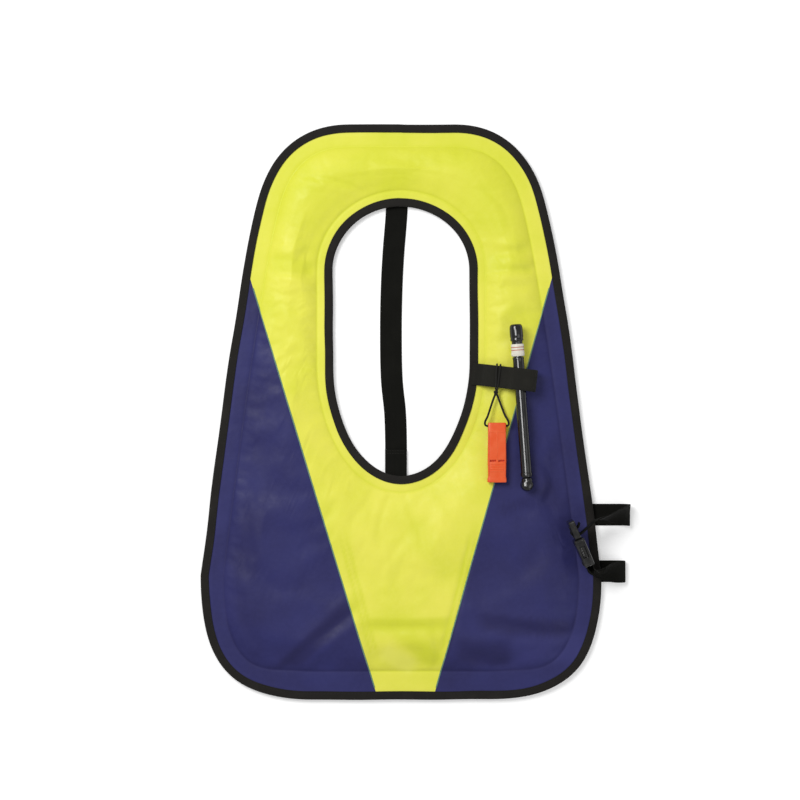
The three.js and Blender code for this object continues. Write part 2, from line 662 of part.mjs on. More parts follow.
function buildKeeper() {
  const low = BINDING_HIGH - 0.4;
  const foot = new THREE.Shape();
  foot.moveTo(0.8, low);
  foot.lineTo(3, low);
  foot.quadraticCurveTo(7, low + 1, 9.4, 16.4);
  foot.lineTo(17.9, 20.2);
  foot.lineTo(17.9, 22.7);
  foot.lineTo(8, 18.6);
  foot.quadraticCurveTo(5, low + 3.4, 2.6, low + 2.5);
  foot.lineTo(0.8, low + 2.5);
  add('keeper_foot', extrudeAlongY(foot, KEEPER_WIDTH), BLACK_ELASTIC, keeper);

  const bottom = CROWN + GAP;
  const radius = HOSE_Z - bottom;
  const centre = 58.2;
  const loop = new THREE.Shape();
  loop.moveTo(18.2, 20.2);
  loop.lineTo(24.8, 21.6);
  loop.quadraticCurveTo(28.5, 21.4, 32, bottom);
  loop.lineTo(centre, bottom);
  loop.absarc(centre, HOSE_Z, radius, -Math.PI / 2, Math.PI / 2);
  loop.lineTo(44, HOSE_Z + radius);
  loop.quadraticCurveTo(39, HOSE_Z + radius, 36, 33);
  loop.quadraticCurveTo(31, 25.4, 26, 24.3);
  loop.lineTo(18.2, 22.7);
  const tunnel = new THREE.Path();
  const inner = radius - ELASTIC;
  tunnel.moveTo(33, bottom + ELASTIC);
  tunnel.lineTo(centre, bottom + ELASTIC);
  tunnel.absarc(centre, HOSE_Z, inner, -Math.PI / 2, Math.PI / 2);
  tunnel.lineTo(44, HOSE_Z + inner);
  tunnel.quadraticCurveTo(40, HOSE_Z + inner, 37, 32);
  tunnel.quadraticCurveTo(34, 26, 30.5, 23.6);
  loop.holes.push(tunnel);
  add('keeper_loop', extrudeAlongY(loop, KEEPER_WIDTH), BLACK_ELASTIC, keeper);
}

// ---------------------------------------------------------------- lanyard and whistle

function cord(stops, steps, sides = 8) {
  const route = new THREE.CatmullRomCurve3(stops.map((s) => new THREE.Vector3(...s)), false, 'centripetal');
  const section = new THREE.Shape();
  const corners = Array.from({ length: sides }, (_, i) => {
    const angle = 2 * Math.PI * i / sides;
    return new THREE.Vector2(CORD_RADIUS * Math.cos(angle), CORD_RADIUS * Math.sin(angle));
  });
  section.setFromPoints(corners);
  return new THREE.ExtrudeGeometry(section, { steps, extrudePath: route, bevelEnabled: false });
}

function buildLanyard() {
  // Hitch round the keeper: over it, under it, back under and over again
  const edge = KEEPER_WIDTH / 2;
  const over = 25.4;
  const under = 19.5;
  const hitch = [
    [23.6, -edge - 1.9, over - 2.2],
    [23.4, -edge - 0.9, over - 0.7],
    [23.2, -edge + 3, over],
    [23.2, edge - 3, over],
    [23.2, edge + 1.6, over - 1],
    [23.2, edge + 2.2, over - 3.4],
    [23.2, edge + 1, under + 0.6],
    [23.2, edge - 3, under],
    [23.2, 0, under],
  ];
  add('lanyard_hitch', cord(hitch, 24), BLACK_WEB, keeper);

  const knot = new THREE.SphereGeometry(KNOT.radius, 12, 8).translate(KNOT.x, KNOT.y, KNOT.z);
  add('lanyard_knot', knot, BLACK_WEB);

  const hole = { y: WHISTLE.y + 30.2, z: WHISTLE.z };
  const route = [
    [KNOT.x - 1.6, KNOT.y - 3.6, KNOT.z],
    [KNOT.x - 3.6, KNOT.y - 9, KNOT.z],
    [KNOT.x - 6.6, KNOT.y - 18, KNOT.z + 0.2],
    [KNOT.x - 9.6, KNOT.y - 27, KNOT.z + 0.9],
    [95.8, hole.y + 4.6, hole.z - 0.6],
    [96, hole.y + 1.2, hole.z],
    [98.4, hole.y, hole.z],
    [104, hole.y, hole.z],
    [115, hole.y, hole.z],
    [120.4, hole.y, hole.z],
    [122.6, hole.y + 1.6, hole.z],
    [122, hole.y + 6, hole.z - 0.4],
    [KNOT.x + 10.4, KNOT.y - 26, KNOT.z + 0.9],
    [KNOT.x + 6.8, KNOT.y - 17, KNOT.z + 0.2],
    [KNOT.x + 3.8, KNOT.y - 9, KNOT.z],
    [KNOT.x + 1.8, KNOT.y - 3.6, KNOT.z],
  ];
  add('lanyard_cord', cord(route, 56), BLACK_WEB);
}

function buildWhistle() {
  const whistle = new THREE.Group();
  whistle.position.set(WHISTLE.x, WHISTLE.y, WHISTLE.z);
  vest.add(whistle);
  const thick = 10;
  const bevel = 0.8;
  const side = [[10.3, 34], [10.3, 18], [10.7, -8], [10.3, -26], [10.9, -30], [10.9, -34]];
  const outline = [...side, ...side.slice().reverse().map(([x, y]) => [-x, y])];
  const shape = new THREE.Shape(outline.map(([x, y]) => new THREE.Vector2(x, y)));
  const body = new THREE.ExtrudeGeometry(shape, {
    depth: thick - 2 * bevel,
    bevelThickness: bevel,
    bevelSize: bevel,
    bevelOffset: -bevel,
    bevelSegments: 2,
  }).translate(0, 0, bevel - thick / 2);
  const cordHole = new THREE.CylinderGeometry(2, 2, 40, 12).rotateZ(Math.PI / 2).translate(0, 30.2, 0);
  const cuts = [
    cordHole,
    block(7, 2.2, 6, -4.6, -9.3, 5),
    block(7, 2.2, 6, 4.6, -9.3, 5),
    block(7, 25, 2.4, -4.6, -22, 0.8),
    block(7, 25, 2.4, 4.6, -22, 0.8),
  ];
  const solid = cuts.reduce((rest, cut) => rest.subtract(toSolid(cut)), toSolid(body));
  add('whistle', toGeometry(solid), ORANGE, whistle);
}

// ---------------------------------------------------------------- the whole vest

buildSheets();
buildBindings();
buildBackStrap();
buildSlider();
buildSocket();
buildPlug();
buildBelt();
buildTab();
buildInlet();
buildHose();
buildMouthpiece();
buildKeeper();
buildLanyard();
buildWhistle();

export default vest;
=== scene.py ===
import json
import math
from contextlib import contextmanager

import bmesh
import bpy
import numpy as np
from mathutils import Matrix, Vector, noise
from mathutils.bvhtree import BVHTree

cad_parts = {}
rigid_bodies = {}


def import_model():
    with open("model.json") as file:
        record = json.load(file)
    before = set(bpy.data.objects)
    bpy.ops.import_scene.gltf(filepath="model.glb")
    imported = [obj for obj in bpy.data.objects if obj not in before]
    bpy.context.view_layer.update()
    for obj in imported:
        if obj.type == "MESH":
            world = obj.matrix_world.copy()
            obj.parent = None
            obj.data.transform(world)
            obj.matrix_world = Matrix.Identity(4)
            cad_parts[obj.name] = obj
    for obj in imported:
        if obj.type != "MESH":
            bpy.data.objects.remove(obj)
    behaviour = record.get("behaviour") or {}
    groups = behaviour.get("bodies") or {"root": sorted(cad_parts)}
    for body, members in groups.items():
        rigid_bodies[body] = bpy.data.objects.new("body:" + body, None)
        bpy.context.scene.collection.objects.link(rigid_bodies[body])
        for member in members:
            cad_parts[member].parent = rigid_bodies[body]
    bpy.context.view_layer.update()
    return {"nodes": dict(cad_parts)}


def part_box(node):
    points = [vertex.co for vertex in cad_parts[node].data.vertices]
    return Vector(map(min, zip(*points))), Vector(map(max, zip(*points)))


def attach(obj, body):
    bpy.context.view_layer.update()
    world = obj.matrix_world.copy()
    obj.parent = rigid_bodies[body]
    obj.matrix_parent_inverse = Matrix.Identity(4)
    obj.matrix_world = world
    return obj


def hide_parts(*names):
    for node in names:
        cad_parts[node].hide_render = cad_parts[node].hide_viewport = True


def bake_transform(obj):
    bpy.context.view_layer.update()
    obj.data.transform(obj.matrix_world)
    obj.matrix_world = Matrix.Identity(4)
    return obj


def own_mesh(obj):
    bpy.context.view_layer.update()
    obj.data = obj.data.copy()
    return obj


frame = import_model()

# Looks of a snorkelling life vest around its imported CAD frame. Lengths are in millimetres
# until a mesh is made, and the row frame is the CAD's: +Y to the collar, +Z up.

MM = 0.001

# ---- named dimensions, mm

GAP = 0.3
HALF_LENGTH = 330
BINDING_WIDTH = 9.6
TAPE = 0.8
WEB = 1.2
WEB_WIDTH = 25
CORD_DIAMETER = 2.4
WELD_OUTER = 26
WELD_NECK = 18.6
HEM_EXTRA = 7

FOLD_Y = 152

FRONT_LOW, CROWN = (corner.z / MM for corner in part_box("front_panel_yellow"))
FLANGE = FRONT_LOW + 0.85
BACK_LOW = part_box("back_panel_chest")[0].z / MM
BINDING_LOW, BINDING_HIGH = (corner.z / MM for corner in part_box("edge_binding_chest"))

HOSE_BASE = Vector((143.75, -82.8, 28))
HOSE_TILT = math.radians(4.14)
KEEPER = Vector((87.4, 43.1, 0))
KEEPER_TILT = math.radians(-6.8)
WHISTLE = Vector((109.3, -46, CROWN + 6.3))
KNOT = Vector((108.3, 22, CROWN + 3.4))
BUCKLE = Vector((213.3, -173.7, 35.5))
BUCKLE_TILT = math.radians(23.2)

# ---- camera


def linked(name, data):
    """A new object in the scene."""
    obj = bpy.data.objects.new(name, data)
    bpy.context.scene.collection.objects.link(obj)
    return obj


def make_camera():
    """Straight above the vest, as the photograph was taken, framing 920 mm across."""
    data = bpy.data.cameras.new("camera")
    camera = linked("camera", data)
    height, sensor, framed = 2.6, 36, 0.92
    data.sensor_width = sensor
    data.lens = sensor * height / framed
    data.clip_end = 20
    camera.location = (-0.00115, 0.0138, height)
    bpy.context.scene.camera = camera


make_camera()

# ---- meshes


def new_object(name, vertices, faces, uvs=None, smooth=True):
    """A mesh object from points in mm. uvs gives one (u, v) for each vertex."""
    mesh = bpy.data.meshes.new(name)
    mesh.from_pydata([Vector(v) * MM for v in vertices], [], faces)
    obj = linked(name, mesh)
    if uvs is not None:
        layer = mesh.uv_layers.new(name="cloth")
        index = np.empty(len(mesh.loops), int)
        mesh.loops.foreach_get("vertex_index", index)
        layer.data.foreach_set("uv", np.asarray(uvs, np.float32)[index].ravel())
    if smooth:
        mesh.shade_smooth()
    mesh.update()
    return obj


def loop_uvs(obj, corner_uvs):
    """Sets the uv of every face corner, in the order of the mesh's loops."""
    layer = obj.data.uv_layers.new(name="cloth")
    layer.data.foreach_set("uv", np.asarray(corner_uvs, np.float32).ravel())


@contextmanager
def editing(obj):
    """An object's mesh opened for editing, and written back."""
    work = bmesh.new()
    work.from_mesh(obj.data)
    yield work
    work.to_mesh(obj.data)
    work.free()


def lattice(rows, columns, wrap=False):
    """Quads between rows of points, each row a closed loop. wrap joins the last row to the first."""
    faces = []
    for i in range(rows if wrap else rows - 1):
        this, after = i * columns, (i + 1) % rows * columns
        for j in range(columns):
            m = (j + 1) % columns
            faces.append((this + j, this + m, after + m, after + j))
    return faces


def outward(faces):
    return [(a, d, c, b) for a, b, c, d in faces]


def end_caps(rows, columns):
    """The faces that close both ends of a lattice turned outward."""
    return [tuple(range(columns)), tuple(reversed(range((rows - 1) * columns, rows * columns)))]


def apply_modifiers(obj):
    bpy.context.view_layer.update()
    graph = bpy.context.evaluated_depsgraph_get()
    mesh = bpy.data.meshes.new_from_object(obj.evaluated_get(graph))
    obj.modifiers.clear()
    obj.data = mesh
    return obj


def paint(obj, *looks):
    obj.data.materials.clear()
    for look in looks:
        obj.data.materials.append(look)
    return obj


def dress(obj, look, slot, body=None, *nodes):
    """Gives a piece its material, the CAD nodes it replaces and the body it rides on. slot is not used."""
    paint(obj, look)
    if nodes:
        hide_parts(*nodes)
    if body:
        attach(obj, body)
    return obj


def catmull_rom(points, count):
    """Centripetal Catmull-Rom curve through the points, as count + 1 evenly spaced points."""
    p = np.asarray(points, float)
    p = np.vstack([2 * p[0] - p[1], p, 2 * p[-1] - p[-2]])
    dense = []
    for i in range(1, len(p) - 2):
        a, b, c, d = p[i - 1 : i + 3]
        t1 = max(np.linalg.norm((b - a)[:3]), 1e-3) ** 0.5
        t2 = t1 + max(np.linalg.norm((c - b)[:3]), 1e-3) ** 0.5
        t3 = t2 + max(np.linalg.norm((d - c)[:3]), 1e-3) ** 0.5
        for t in np.linspace(t1, t2, 16, endpoint=False):
            a1 = a + (b - a) * t / t1
            a2 = b + (c - b) * (t - t1) / (t2 - t1)
            a3 = c + (d - c) * (t - t2) / (t3 - t2)
            b1 = a1 + (a2 - a1) * t / t2
            b2 = a2 + (a3 - a2) * (t - t1) / (t3 - t1)
            dense.append(b1 + (b2 - b1) * (t - t1) / (t2 - t1))
    dense.append(p[-2])
    return resample(np.array(dense), count)


def lengths(rows):
    return np.linalg.norm(rows, axis=1)


def normalised(rows):
    return rows / lengths(rows)[:, None]


def running_length(points):
    """The distance from the first point to each point, along a line."""
    return np.concatenate([[0], np.cumsum(lengths(np.diff(np.asarray(points)[:, :3], axis=0)))])


def resample(points, count):
    """count + 1 points at even distances along a line of points."""
    along = running_length(points)
    want = np.linspace(0, along[-1], count + 1)
    return np.stack([np.interp(want, along, points[:, k]) for k in range(points.shape[1])], 1)


def line_length(points):
    return float(running_length(points)[-1])


def sweep(name, points, widths, section, closed=False):
    """A skin along a line. section is a closed loop of (across, out) points in mm, widths
    gives the direction of "across" at each point. uv is (mm along, mm round the section)."""
    points, widths = np.asarray(points, float), np.asarray(widths, float)
    if closed:
        tangent = np.roll(points, -1, 0) - np.roll(points, 1, 0)
    else:
        tangent = np.gradient(points, axis=0)
    tangent = normalised(tangent)
    across = normalised(widths - (widths * tangent).sum(1)[:, None] * tangent)
    out = np.cross(tangent, across)
    section = np.asarray(section, float)
    n, k = len(points), len(section)
    body = points[:, None] + across[:, None] * section[None, :, :1] + out[:, None] * section[None, :, 1:]
    vertices = body.reshape(-1, 3)
    along = running_length(np.vstack([points, points[:1]]))
    around = running_length(np.vstack([section, section[:1]]))
    faces, uvs = outward(lattice(n, k, closed)), []
    for u0, u1 in zip(along, along[1 : n + closed]):
        for v0, v1 in zip(around, around[1:]):
            uvs += [(u0, v0), (u1, v0), (u1, v1), (u0, v1)]
    if not closed:
        faces += end_caps(n, k)
        for j in list(range(k)) + list(reversed(range(k))):
            uvs.append((0, around[j]))
    obj = new_object(name, vertices, faces)
    loop_uvs(obj, uvs)
    return obj


def band_section(width, thickness, bumps=9):
    """Rounded rectangle with a faintly ribbed selvedge, as (across, out) points."""
    w, t = width / 2, thickness / 2
    top = [(x, t * (1 if abs(x) < w - 1.6 else 0.82)) for x in np.linspace(-w + 0.4, w - 0.4, bumps)]
    bottom = [(x, -y) for x, y in reversed(top)]
    return top + [(w - 0.1, t * 0.45), (w, 0), (w - 0.1, -t * 0.45)] + bottom + [
        (-w + 0.1, -t * 0.45), (-w, 0), (-w + 0.1, t * 0.45)]


def ring_section(radius, sides=12):
    angle = np.linspace(0, 2 * math.pi, sides, endpoint=False)
    return np.stack([radius * np.cos(angle), radius * np.sin(angle)], 1)


def tube_widths(points):
    """A steady sideways direction for each point of a tube's line."""
    tangent = normalised(np.gradient(np.asarray(points, float), axis=0))
    side = np.cross(tangent[0], (0, 0, 1)) if abs(tangent[0][2]) < 0.9 else np.array((1.0, 0, 0))
    sides = []
    for t in tangent:
        side = side - side.dot(t) * t
        side = side / np.linalg.norm(side)
        sides.append(side)
    return np.array(sides)


def tube(name, points, radius, sides=12):
    return sweep(name, points, tube_widths(points), ring_section(radius, sides))


def turned(name, profile, segments):
    """Turned part about +Y. profile is (radius, distance) pairs, from one end to the other."""
    profile = np.asarray(profile, float)
    vertices, uvs = [], []
    along = running_length(profile)
    for r, y in profile:
        for s in range(segments):
            a = 2 * math.pi * s / segments
            vertices.append((r * math.cos(a), y, r * math.sin(a)))
    arc = 2 * math.pi * max(profile[:, 0]) / segments
    for u0, u1 in zip(along, along[1:]):
        for s in range(segments):
            uvs += [(u0, s * arc), (u0, (s + 1) * arc), (u1, (s + 1) * arc), (u1, s * arc)]
    obj = new_object(name, vertices, lattice(len(profile), segments))
    loop_uvs(obj, uvs)
    mend(obj)
    return obj


def mend(obj):
    """Joins doubled points and turns the faces outwards."""
    with editing(obj) as work:
        bmesh.ops.remove_doubles(work, verts=work.verts, dist=1e-6)
        bmesh.ops.recalc_face_normals(work, faces=work.faces)


def place(obj, offset, turn_z=0.0):
    """Moves a mesh's points from a local frame in mm into the row frame."""
    obj.data.transform(Matrix.Translation(Vector(offset) * MM) @ Matrix.Rotation(turn_z, 4, "Z"))
    return obj


def soften(obj, width, segments=2, angle=30):
    """Rounds an object's sharp edges with a bevel."""
    bevel = obj.modifiers.new("edges", "BEVEL")
    bevel.width = width * MM
    bevel.segments = segments
    bevel.limit_method = "ANGLE"
    bevel.angle_limit = math.radians(angle)


def auto_smooth(obj, angle=40):
    """Smooth shading that keeps edges sharper than the angle."""
    with editing(obj) as work:
        for edge in work.edges:
            if len(edge.link_faces) == 2 and edge.calc_face_angle(0) > math.radians(angle):
                edge.smooth = False
        for face in work.faces:
            face.smooth = True


def join(name, parts):
    """One object from several, with their uvs and materials."""
    bpy.ops.object.select_all(action="DESELECT")
    for part in parts:
        part.select_set(True)
    bpy.context.view_layer.objects.active = parts[0]
    bpy.ops.object.join()
    parts[0].name = name
    parts[0].data.name = name
    return parts[0]


def rounded_box(name, low, high, bevel=0.3, segments=3):
    """A box between two corners in mm, with rounded edges."""
    (x0, y0, z0), (x1, y1, z1) = low, high
    vertices = [(x, y, z) for x in (x0, x1) for y in (y0, y1) for z in (z0, z1)]
    faces = [(0, 1, 3, 2), (4, 6, 7, 5), (0, 4, 5, 1), (2, 3, 7, 6), (0, 2, 6, 4), (1, 5, 7, 3)]
    obj = new_object(name, vertices, faces)
    soften(obj, bevel, segments)
    return apply_modifiers(obj)


def cut(obj, cutter):
    """Takes one mesh out of another."""
    boolean = obj.modifiers.new("cut", "BOOLEAN")
    boolean.operation = "DIFFERENCE"
    boolean.object = cutter
    boolean.solver = "EXACT"
    apply_modifiers(obj)
    bpy.data.objects.remove(cutter)


# ---- stitches


def stitches(name, line, normals, length=2.9, gap=1.0, radius=0.3, lift=0.12):
    """A row of thread stitches along a line of points in mm, each lying on its normal."""
    line, normals = np.asarray(line, float), np.asarray(normals, float)
    total = line_length(line)
    count = max(1, int(total / (length + gap)))
    samples = resample(np.hstack([line, normals]), count * 2)
    vertices, faces = [], []
    for i in range(count):
        a, b = samples[2 * i], samples[2 * i + 1]
        start, up = a[:3], a[3:] / np.linalg.norm(a[3:])
        along = b[:3] - a[:3]
        along /= np.linalg.norm(along)
        side = np.cross(up, along)
        base = len(vertices)
        shape = [(0.0, 0.35), (0.12, 0.85), (0.5, 1.0), (0.88, 0.85), (1.0, 0.35)]
        for share, size in shape:
            centre = start + along * share * length + up * (lift + radius * 0.5 * (size - 1))
            for k in range(6):
                t = 2 * math.pi * k / 6
                vertices.append(centre + (side * math.cos(t) + up * 0.7 * math.sin(t)) * radius * size)
        skin = outward(lattice(len(shape), 6)) + end_caps(len(shape), 6)
        faces += [tuple(base + corner for corner in face) for face in skin]
    return new_object(name, vertices, faces)


# ---- materials


class Look:
    """One procedural material: a Principled shader with its colour, roughness and bump nodes."""

    def __init__(self, name, roughness=0.5, metallic=0.0, specular=0.5, sheen=0.0, coat=0.0):
        self.material = bpy.data.materials.new(name)
        self.material.use_nodes = True
        self.tree = self.material.node_tree
        self.shader = self.tree.nodes["Principled BSDF"]
        for socket, value in (
            ("Roughness", roughness), ("Metallic", metallic), ("Specular IOR Level", specular),
            ("Sheen Weight", sheen), ("Sheen Roughness", 0.5),
            ("Coat Weight", coat), ("Coat Roughness", 0.25),
        ):
            self.shader.inputs[socket].default_value = value
        self.normal = None

    def add(self, kind, **settings):
        node = self.tree.nodes.new(kind)
        for key, value in settings.items():
            setattr(node, key, value)
        return node

    def feed(self, socket, value):
        if hasattr(value, "links"):
            self.tree.links.new(value, socket)
        elif isinstance(value, (tuple, list)) and len(value) == 3 and len(socket.default_value) == 4:
            socket.default_value = (*value, 1)
        else:
            socket.default_value = value

    def math(self, operation, a, b=0.0, clamp=False):
        node = self.add("ShaderNodeMath", operation=operation, use_clamp=clamp)
        self.feed(node.inputs[0], a)
        self.feed(node.inputs[1], b)
        return node.outputs[0]

    def times(self, a, b, clamp=False):
        return self.math("MULTIPLY", a, b, clamp)

    def plus(self, a, b):
        return self.math("ADD", a, b)

    def sine(self, value):
        return self.math("SINE", value)

    def cloth_mm(self):
        """The cloth's own coordinates in mm, which stay with it as it bends."""
        return self.add("ShaderNodeTexCoord").outputs["UV"]

    def object_mm(self):
        node = self.add("ShaderNodeVectorMath", operation="SCALE")
        self.feed(node.inputs[0], self.add("ShaderNodeTexCoord").outputs["Object"])
        node.inputs["Scale"].default_value = 1 / MM
        return node.outputs[0]

    def parts(self, vector):
        node = self.add("ShaderNodeSeparateXYZ")
        self.feed(node.inputs[0], vector)
        return node.outputs

    def wave(self, value, pitch):
        """A sine of that pitch, from 0 to 1."""
        return self.half(self.sine(self.times(value, 2 * math.pi / pitch)))

    def half(self, value):
        return self.plus(self.times(value, 0.5), 0.5)

    def noise(self, vector, size, detail=3.0, rough=0.55, distortion=0.0):
        node = self.add("ShaderNodeTexNoise")
        self.feed(node.inputs["Vector"], vector)
        node.inputs["Scale"].default_value = 1 / size
        node.inputs["Detail"].default_value = detail
        node.inputs["Roughness"].default_value = rough
        node.inputs["Distortion"].default_value = distortion
        return node.outputs["Fac"]

    def ramp(self, value, low, high, low_at=0.0, high_at=1.0):
        """A number from low to high as value goes from low_at to high_at."""
        node = self.add("ShaderNodeMapRange")
        self.feed(node.inputs["Value"], value)
        for socket, number in zip(node.inputs[1:5], (low_at, high_at, low, high)):
            socket.default_value = number
        return node.outputs[0]

    def mix(self, share, a, b):
        node = self.add("ShaderNodeMix", data_type="RGBA")
        self.feed(node.inputs["Factor"], share)
        self.feed(node.inputs[6], a)
        self.feed(node.inputs[7], b)
        return node.outputs[2]

    def attribute(self, name):
        return self.add("ShaderNodeAttribute", attribute_name=name).outputs["Fac"]

    def colour(self, value):
        self.feed(self.shader.inputs["Base Color"], value)

    def roughness(self, value):
        self.feed(self.shader.inputs["Roughness"], value)

    def bump(self, height, distance, strength=1.0):
        """Adds a bump of that height in mm."""
        node = self.add("ShaderNodeBump")
        node.inputs["Strength"].default_value = strength
        node.inputs["Distance"].default_value = distance * MM
        self.feed(node.inputs["Height"], height)
        if self.normal is not None:
            self.feed(node.inputs["Normal"], self.normal)
        self.normal = node.outputs["Normal"]
        self.feed(self.shader.inputs["Normal"], self.normal)


def coated_nylon(name, base, shade, bright, roughness=0.42):
    """Coated plain weave: crossed threads, soft crinkles, faint mottling, darker seams, painted shade along
    folds and a painted highlight inside the bindings.
    """
    look = Look(name, roughness, specular=0.2, sheen=0.02)
    cloth = look.cloth_mm()
    x, y, _ = look.parts(cloth)
    thread = 0.62
    warp = look.sine(look.times(x, math.pi / thread))
    weft = look.sine(look.times(y, math.pi / thread))
    weave = look.half(look.times(warp, weft))
    blotch = look.noise(cloth, 70, 2.0)
    mottle = look.noise(cloth, 5, 4.0, 0.6)
    tone = look.mix(look.ramp(blotch, 0, 0.55, 0.35, 0.72), base, shade)
    tone = look.mix(look.ramp(mottle, 0, 0.16, 0.4, 0.75), tone, bright)
    tone = look.mix(look.times(weave, 0.05), tone, shade)
    # The seam attribute darkens the welds and also carries painted shade along the folds and creases, and a
    # darker tone towards the collar's top.
    tone = look.mix(look.times(look.attribute("seam"), 0.5, True), tone, shade)
    # Painted highlight: lightens a line just inside the bindings and the pale folds.
    tone = look.mix(look.times(look.attribute("painted_highlight"), 0.6, True), tone, bright)
    look.colour(tone)
    look.roughness(look.ramp(look.noise(cloth, 16, 3.0), roughness - 0.08, roughness + 0.12, 0.3, 0.7))
    look.bump(look.noise(cloth, 42, 3.0, 0.5, 0.6), 1.5, 0.4)
    look.bump(look.noise(cloth, 8, 3.0, 0.6, 0.4), 0.32, 0.5)
    look.bump(weave, 0.05, 0.7)
    return look.material


def webbing(name, base, bright, rib=1.7, slant=1.3):
    """Woven webbing: chevron ridges along its length, fuzz, ridges painted lighter than the grooves (painted
    shade in the grooves), and paler still where rubbed.
    """
    look = Look(name, 0.78, specular=0.05, sheen=0.01)
    cloth = look.cloth_mm()
    u, v, _ = look.parts(cloth)
    zigzag = look.math("PINGPONG", v, 2 * rib)
    ridges = look.wave(look.plus(look.times(zigzag, slant), u), rib)
    threads = look.wave(v, 0.85)
    height = look.plus(look.times(ridges, 0.7), look.times(threads, 0.3))
    fuzz = look.noise(cloth, 1.1, 4.0, 0.7)
    rubbed = look.times(look.ramp(look.noise(cloth, 30, 3.0), 0.1, 1, 0.45, 0.75), height)
    # Painted shade: the colour follows the ridges' height and is darker in the grooves.
    tone = look.mix(look.times(height, 0.42), base, bright)
    tone = look.mix(look.times(rubbed, 0.5), tone, bright)
    look.colour(tone)
    look.roughness(look.ramp(fuzz, 0.6, 0.85, 0.3, 0.7))
    look.bump(height, 0.3, 0.9)
    look.bump(fuzz, 0.12, 0.6)
    return look.material


def ribbed_tape(name, base, bright, rib=1.05):
    """Grosgrain tape or knitted elastic: ribs across its length and a fine lengthwise thread, with painted
    shade in the grooves between them.
    """
    look = Look(name, 0.8, specular=0.12, sheen=0.03)
    cloth = look.cloth_mm()
    u, v, _ = look.parts(cloth)
    ribs = look.wave(u, rib)
    threads = look.wave(v, 0.7)
    height = look.plus(look.times(ribs, 0.75), look.times(threads, 0.25))
    fuzz = look.noise(cloth, 1.4, 4.0, 0.7)
    worn = look.ramp(look.noise(cloth, 24, 3.0), 0, 0.6, 0.5, 0.75)
    # Painted shade: the colour follows the ribs' height and is darker in the grooves.
    tone = look.mix(look.times(height, 0.35), base, bright)
    tone = look.mix(look.times(worn, fuzz), tone, bright)
    look.colour(tone)
    look.bump(height, 0.22, 0.9)
    look.bump(fuzz, 0.1, 0.6)
    return look.material


def moulded(name, base, worn, roughness=0.35, specular=0.5, grain=0.04, coat=0.0):
    """Moulded plastic or rubber: fine grain, faint flow marks, rubbed edges and smudges."""
    look = Look(name, roughness, specular=specular, coat=coat)
    place_mm = look.object_mm()
    smudge = look.noise(place_mm, 9, 3.0, 0.6)
    fine = look.noise(place_mm, 0.5, 2.0, 0.6)
    pointed = look.add("ShaderNodeNewGeometry").outputs["Pointiness"]
    edge = look.times(look.ramp(pointed, 0, 1, 0.52, 0.62), look.ramp(fine, 0.2, 1, 0.3, 0.7))
    tone = look.mix(look.ramp(smudge, 0, 0.35, 0.4, 0.75), base, worn)
    tone = look.mix(look.times(edge, 0.6), tone, worn)
    look.colour(tone)
    look.roughness(look.ramp(smudge, roughness - 0.07, roughness + 0.12, 0.3, 0.7))
    look.bump(fine, grain, 0.5)
    return look.material


def steel(name):
    look = Look(name, 0.3, metallic=1.0)
    place_mm = look.object_mm()
    drawn = look.noise(place_mm, 0.4, 3.0)
    look.colour(look.mix(drawn, (0.45, 0.45, 0.46), (0.62, 0.62, 0.63)))
    look.roughness(look.ramp(drawn, 0.22, 0.42))
    return look.material


def braided(name, base, bright):
    """Braided cord: crossed spiral strands round the tube, with painted shade between them."""
    look = Look(name, 0.75, specular=0.2, sheen=0.06)
    u, v, _ = look.parts(look.cloth_mm())
    around = look.times(v, 1 / (CORD_DIAMETER * math.pi))
    spiral = look.times(u, 1 / 3.2)
    one, two = (
        look.sine(look.times(look.math(way, spiral, around), 8 * math.pi)) for way in ("ADD", "SUBTRACT")
    )
    strands = look.half(look.times(one, two))
    # Painted shade: the colour follows the strands' height and is darker between them.
    look.colour(look.mix(strands, base, bright))
    look.bump(strands, 0.2, 0.9)
    return look.material


YELLOW = coated_nylon("yellow_nylon", (0.81, 0.78, 0.098), (0.61, 0.665, 0.022), (0.84, 0.82, 0.16), 0.42)
NAVY = coated_nylon("navy_nylon", (0.027, 0.028, 0.124), (0.017, 0.015, 0.066), (0.044, 0.045, 0.18), 0.5)
BACK = coated_nylon("back_nylon", (0.034, 0.032, 0.105), (0.022, 0.020, 0.066), (0.05, 0.048, 0.14), 0.5)
TAPE_LOOK = ribbed_tape("binding_tape", (0.012, 0.011, 0.010), (0.034, 0.031, 0.027))
ELASTIC_LOOK = ribbed_tape("keeper_elastic", (0.011, 0.011, 0.009), (0.032, 0.030, 0.024), 1.3)
WEB_LOOK = webbing("woven_webbing", (0.004, 0.004, 0.0033), (0.016, 0.016, 0.013))
CORD_LOOK = braided("lanyard_braid", (0.006, 0.006, 0.005), (0.020, 0.019, 0.017))
THREAD_LOOK = ribbed_tape("sewing_thread", (0.018, 0.017, 0.015), (0.055, 0.052, 0.046), 0.5)
PLASTIC = moulded("black_acetal", (0.003, 0.003, 0.003), (0.014, 0.013, 0.012), 0.15, 0.55)
RUBBER = moulded("black_rubber", (0.004, 0.004, 0.004), (0.010, 0.010, 0.009), 0.13, 0.6, 0.01)
ORANGE = moulded("orange_plastic", (0.77, 0.088, 0.012), (0.84, 0.16, 0.036), 0.36, 0.45, 0.03, 0.1)
PALE = moulded("pale_ring", (0.70, 0.66, 0.56), (0.80, 0.78, 0.72), 0.28, 0.5, 0.02)
MARK = moulded("ring_mark", (0.42, 0.09, 0.05), (0.55, 0.20, 0.14), 0.35)
STEEL = steel("drawn_steel")
SEAM_LOOK = ribbed_tape("seam_lap", (0.10, 0.22, 0.15), (0.36, 0.46, 0.30), 2.0)

# ---- outlines of the vest


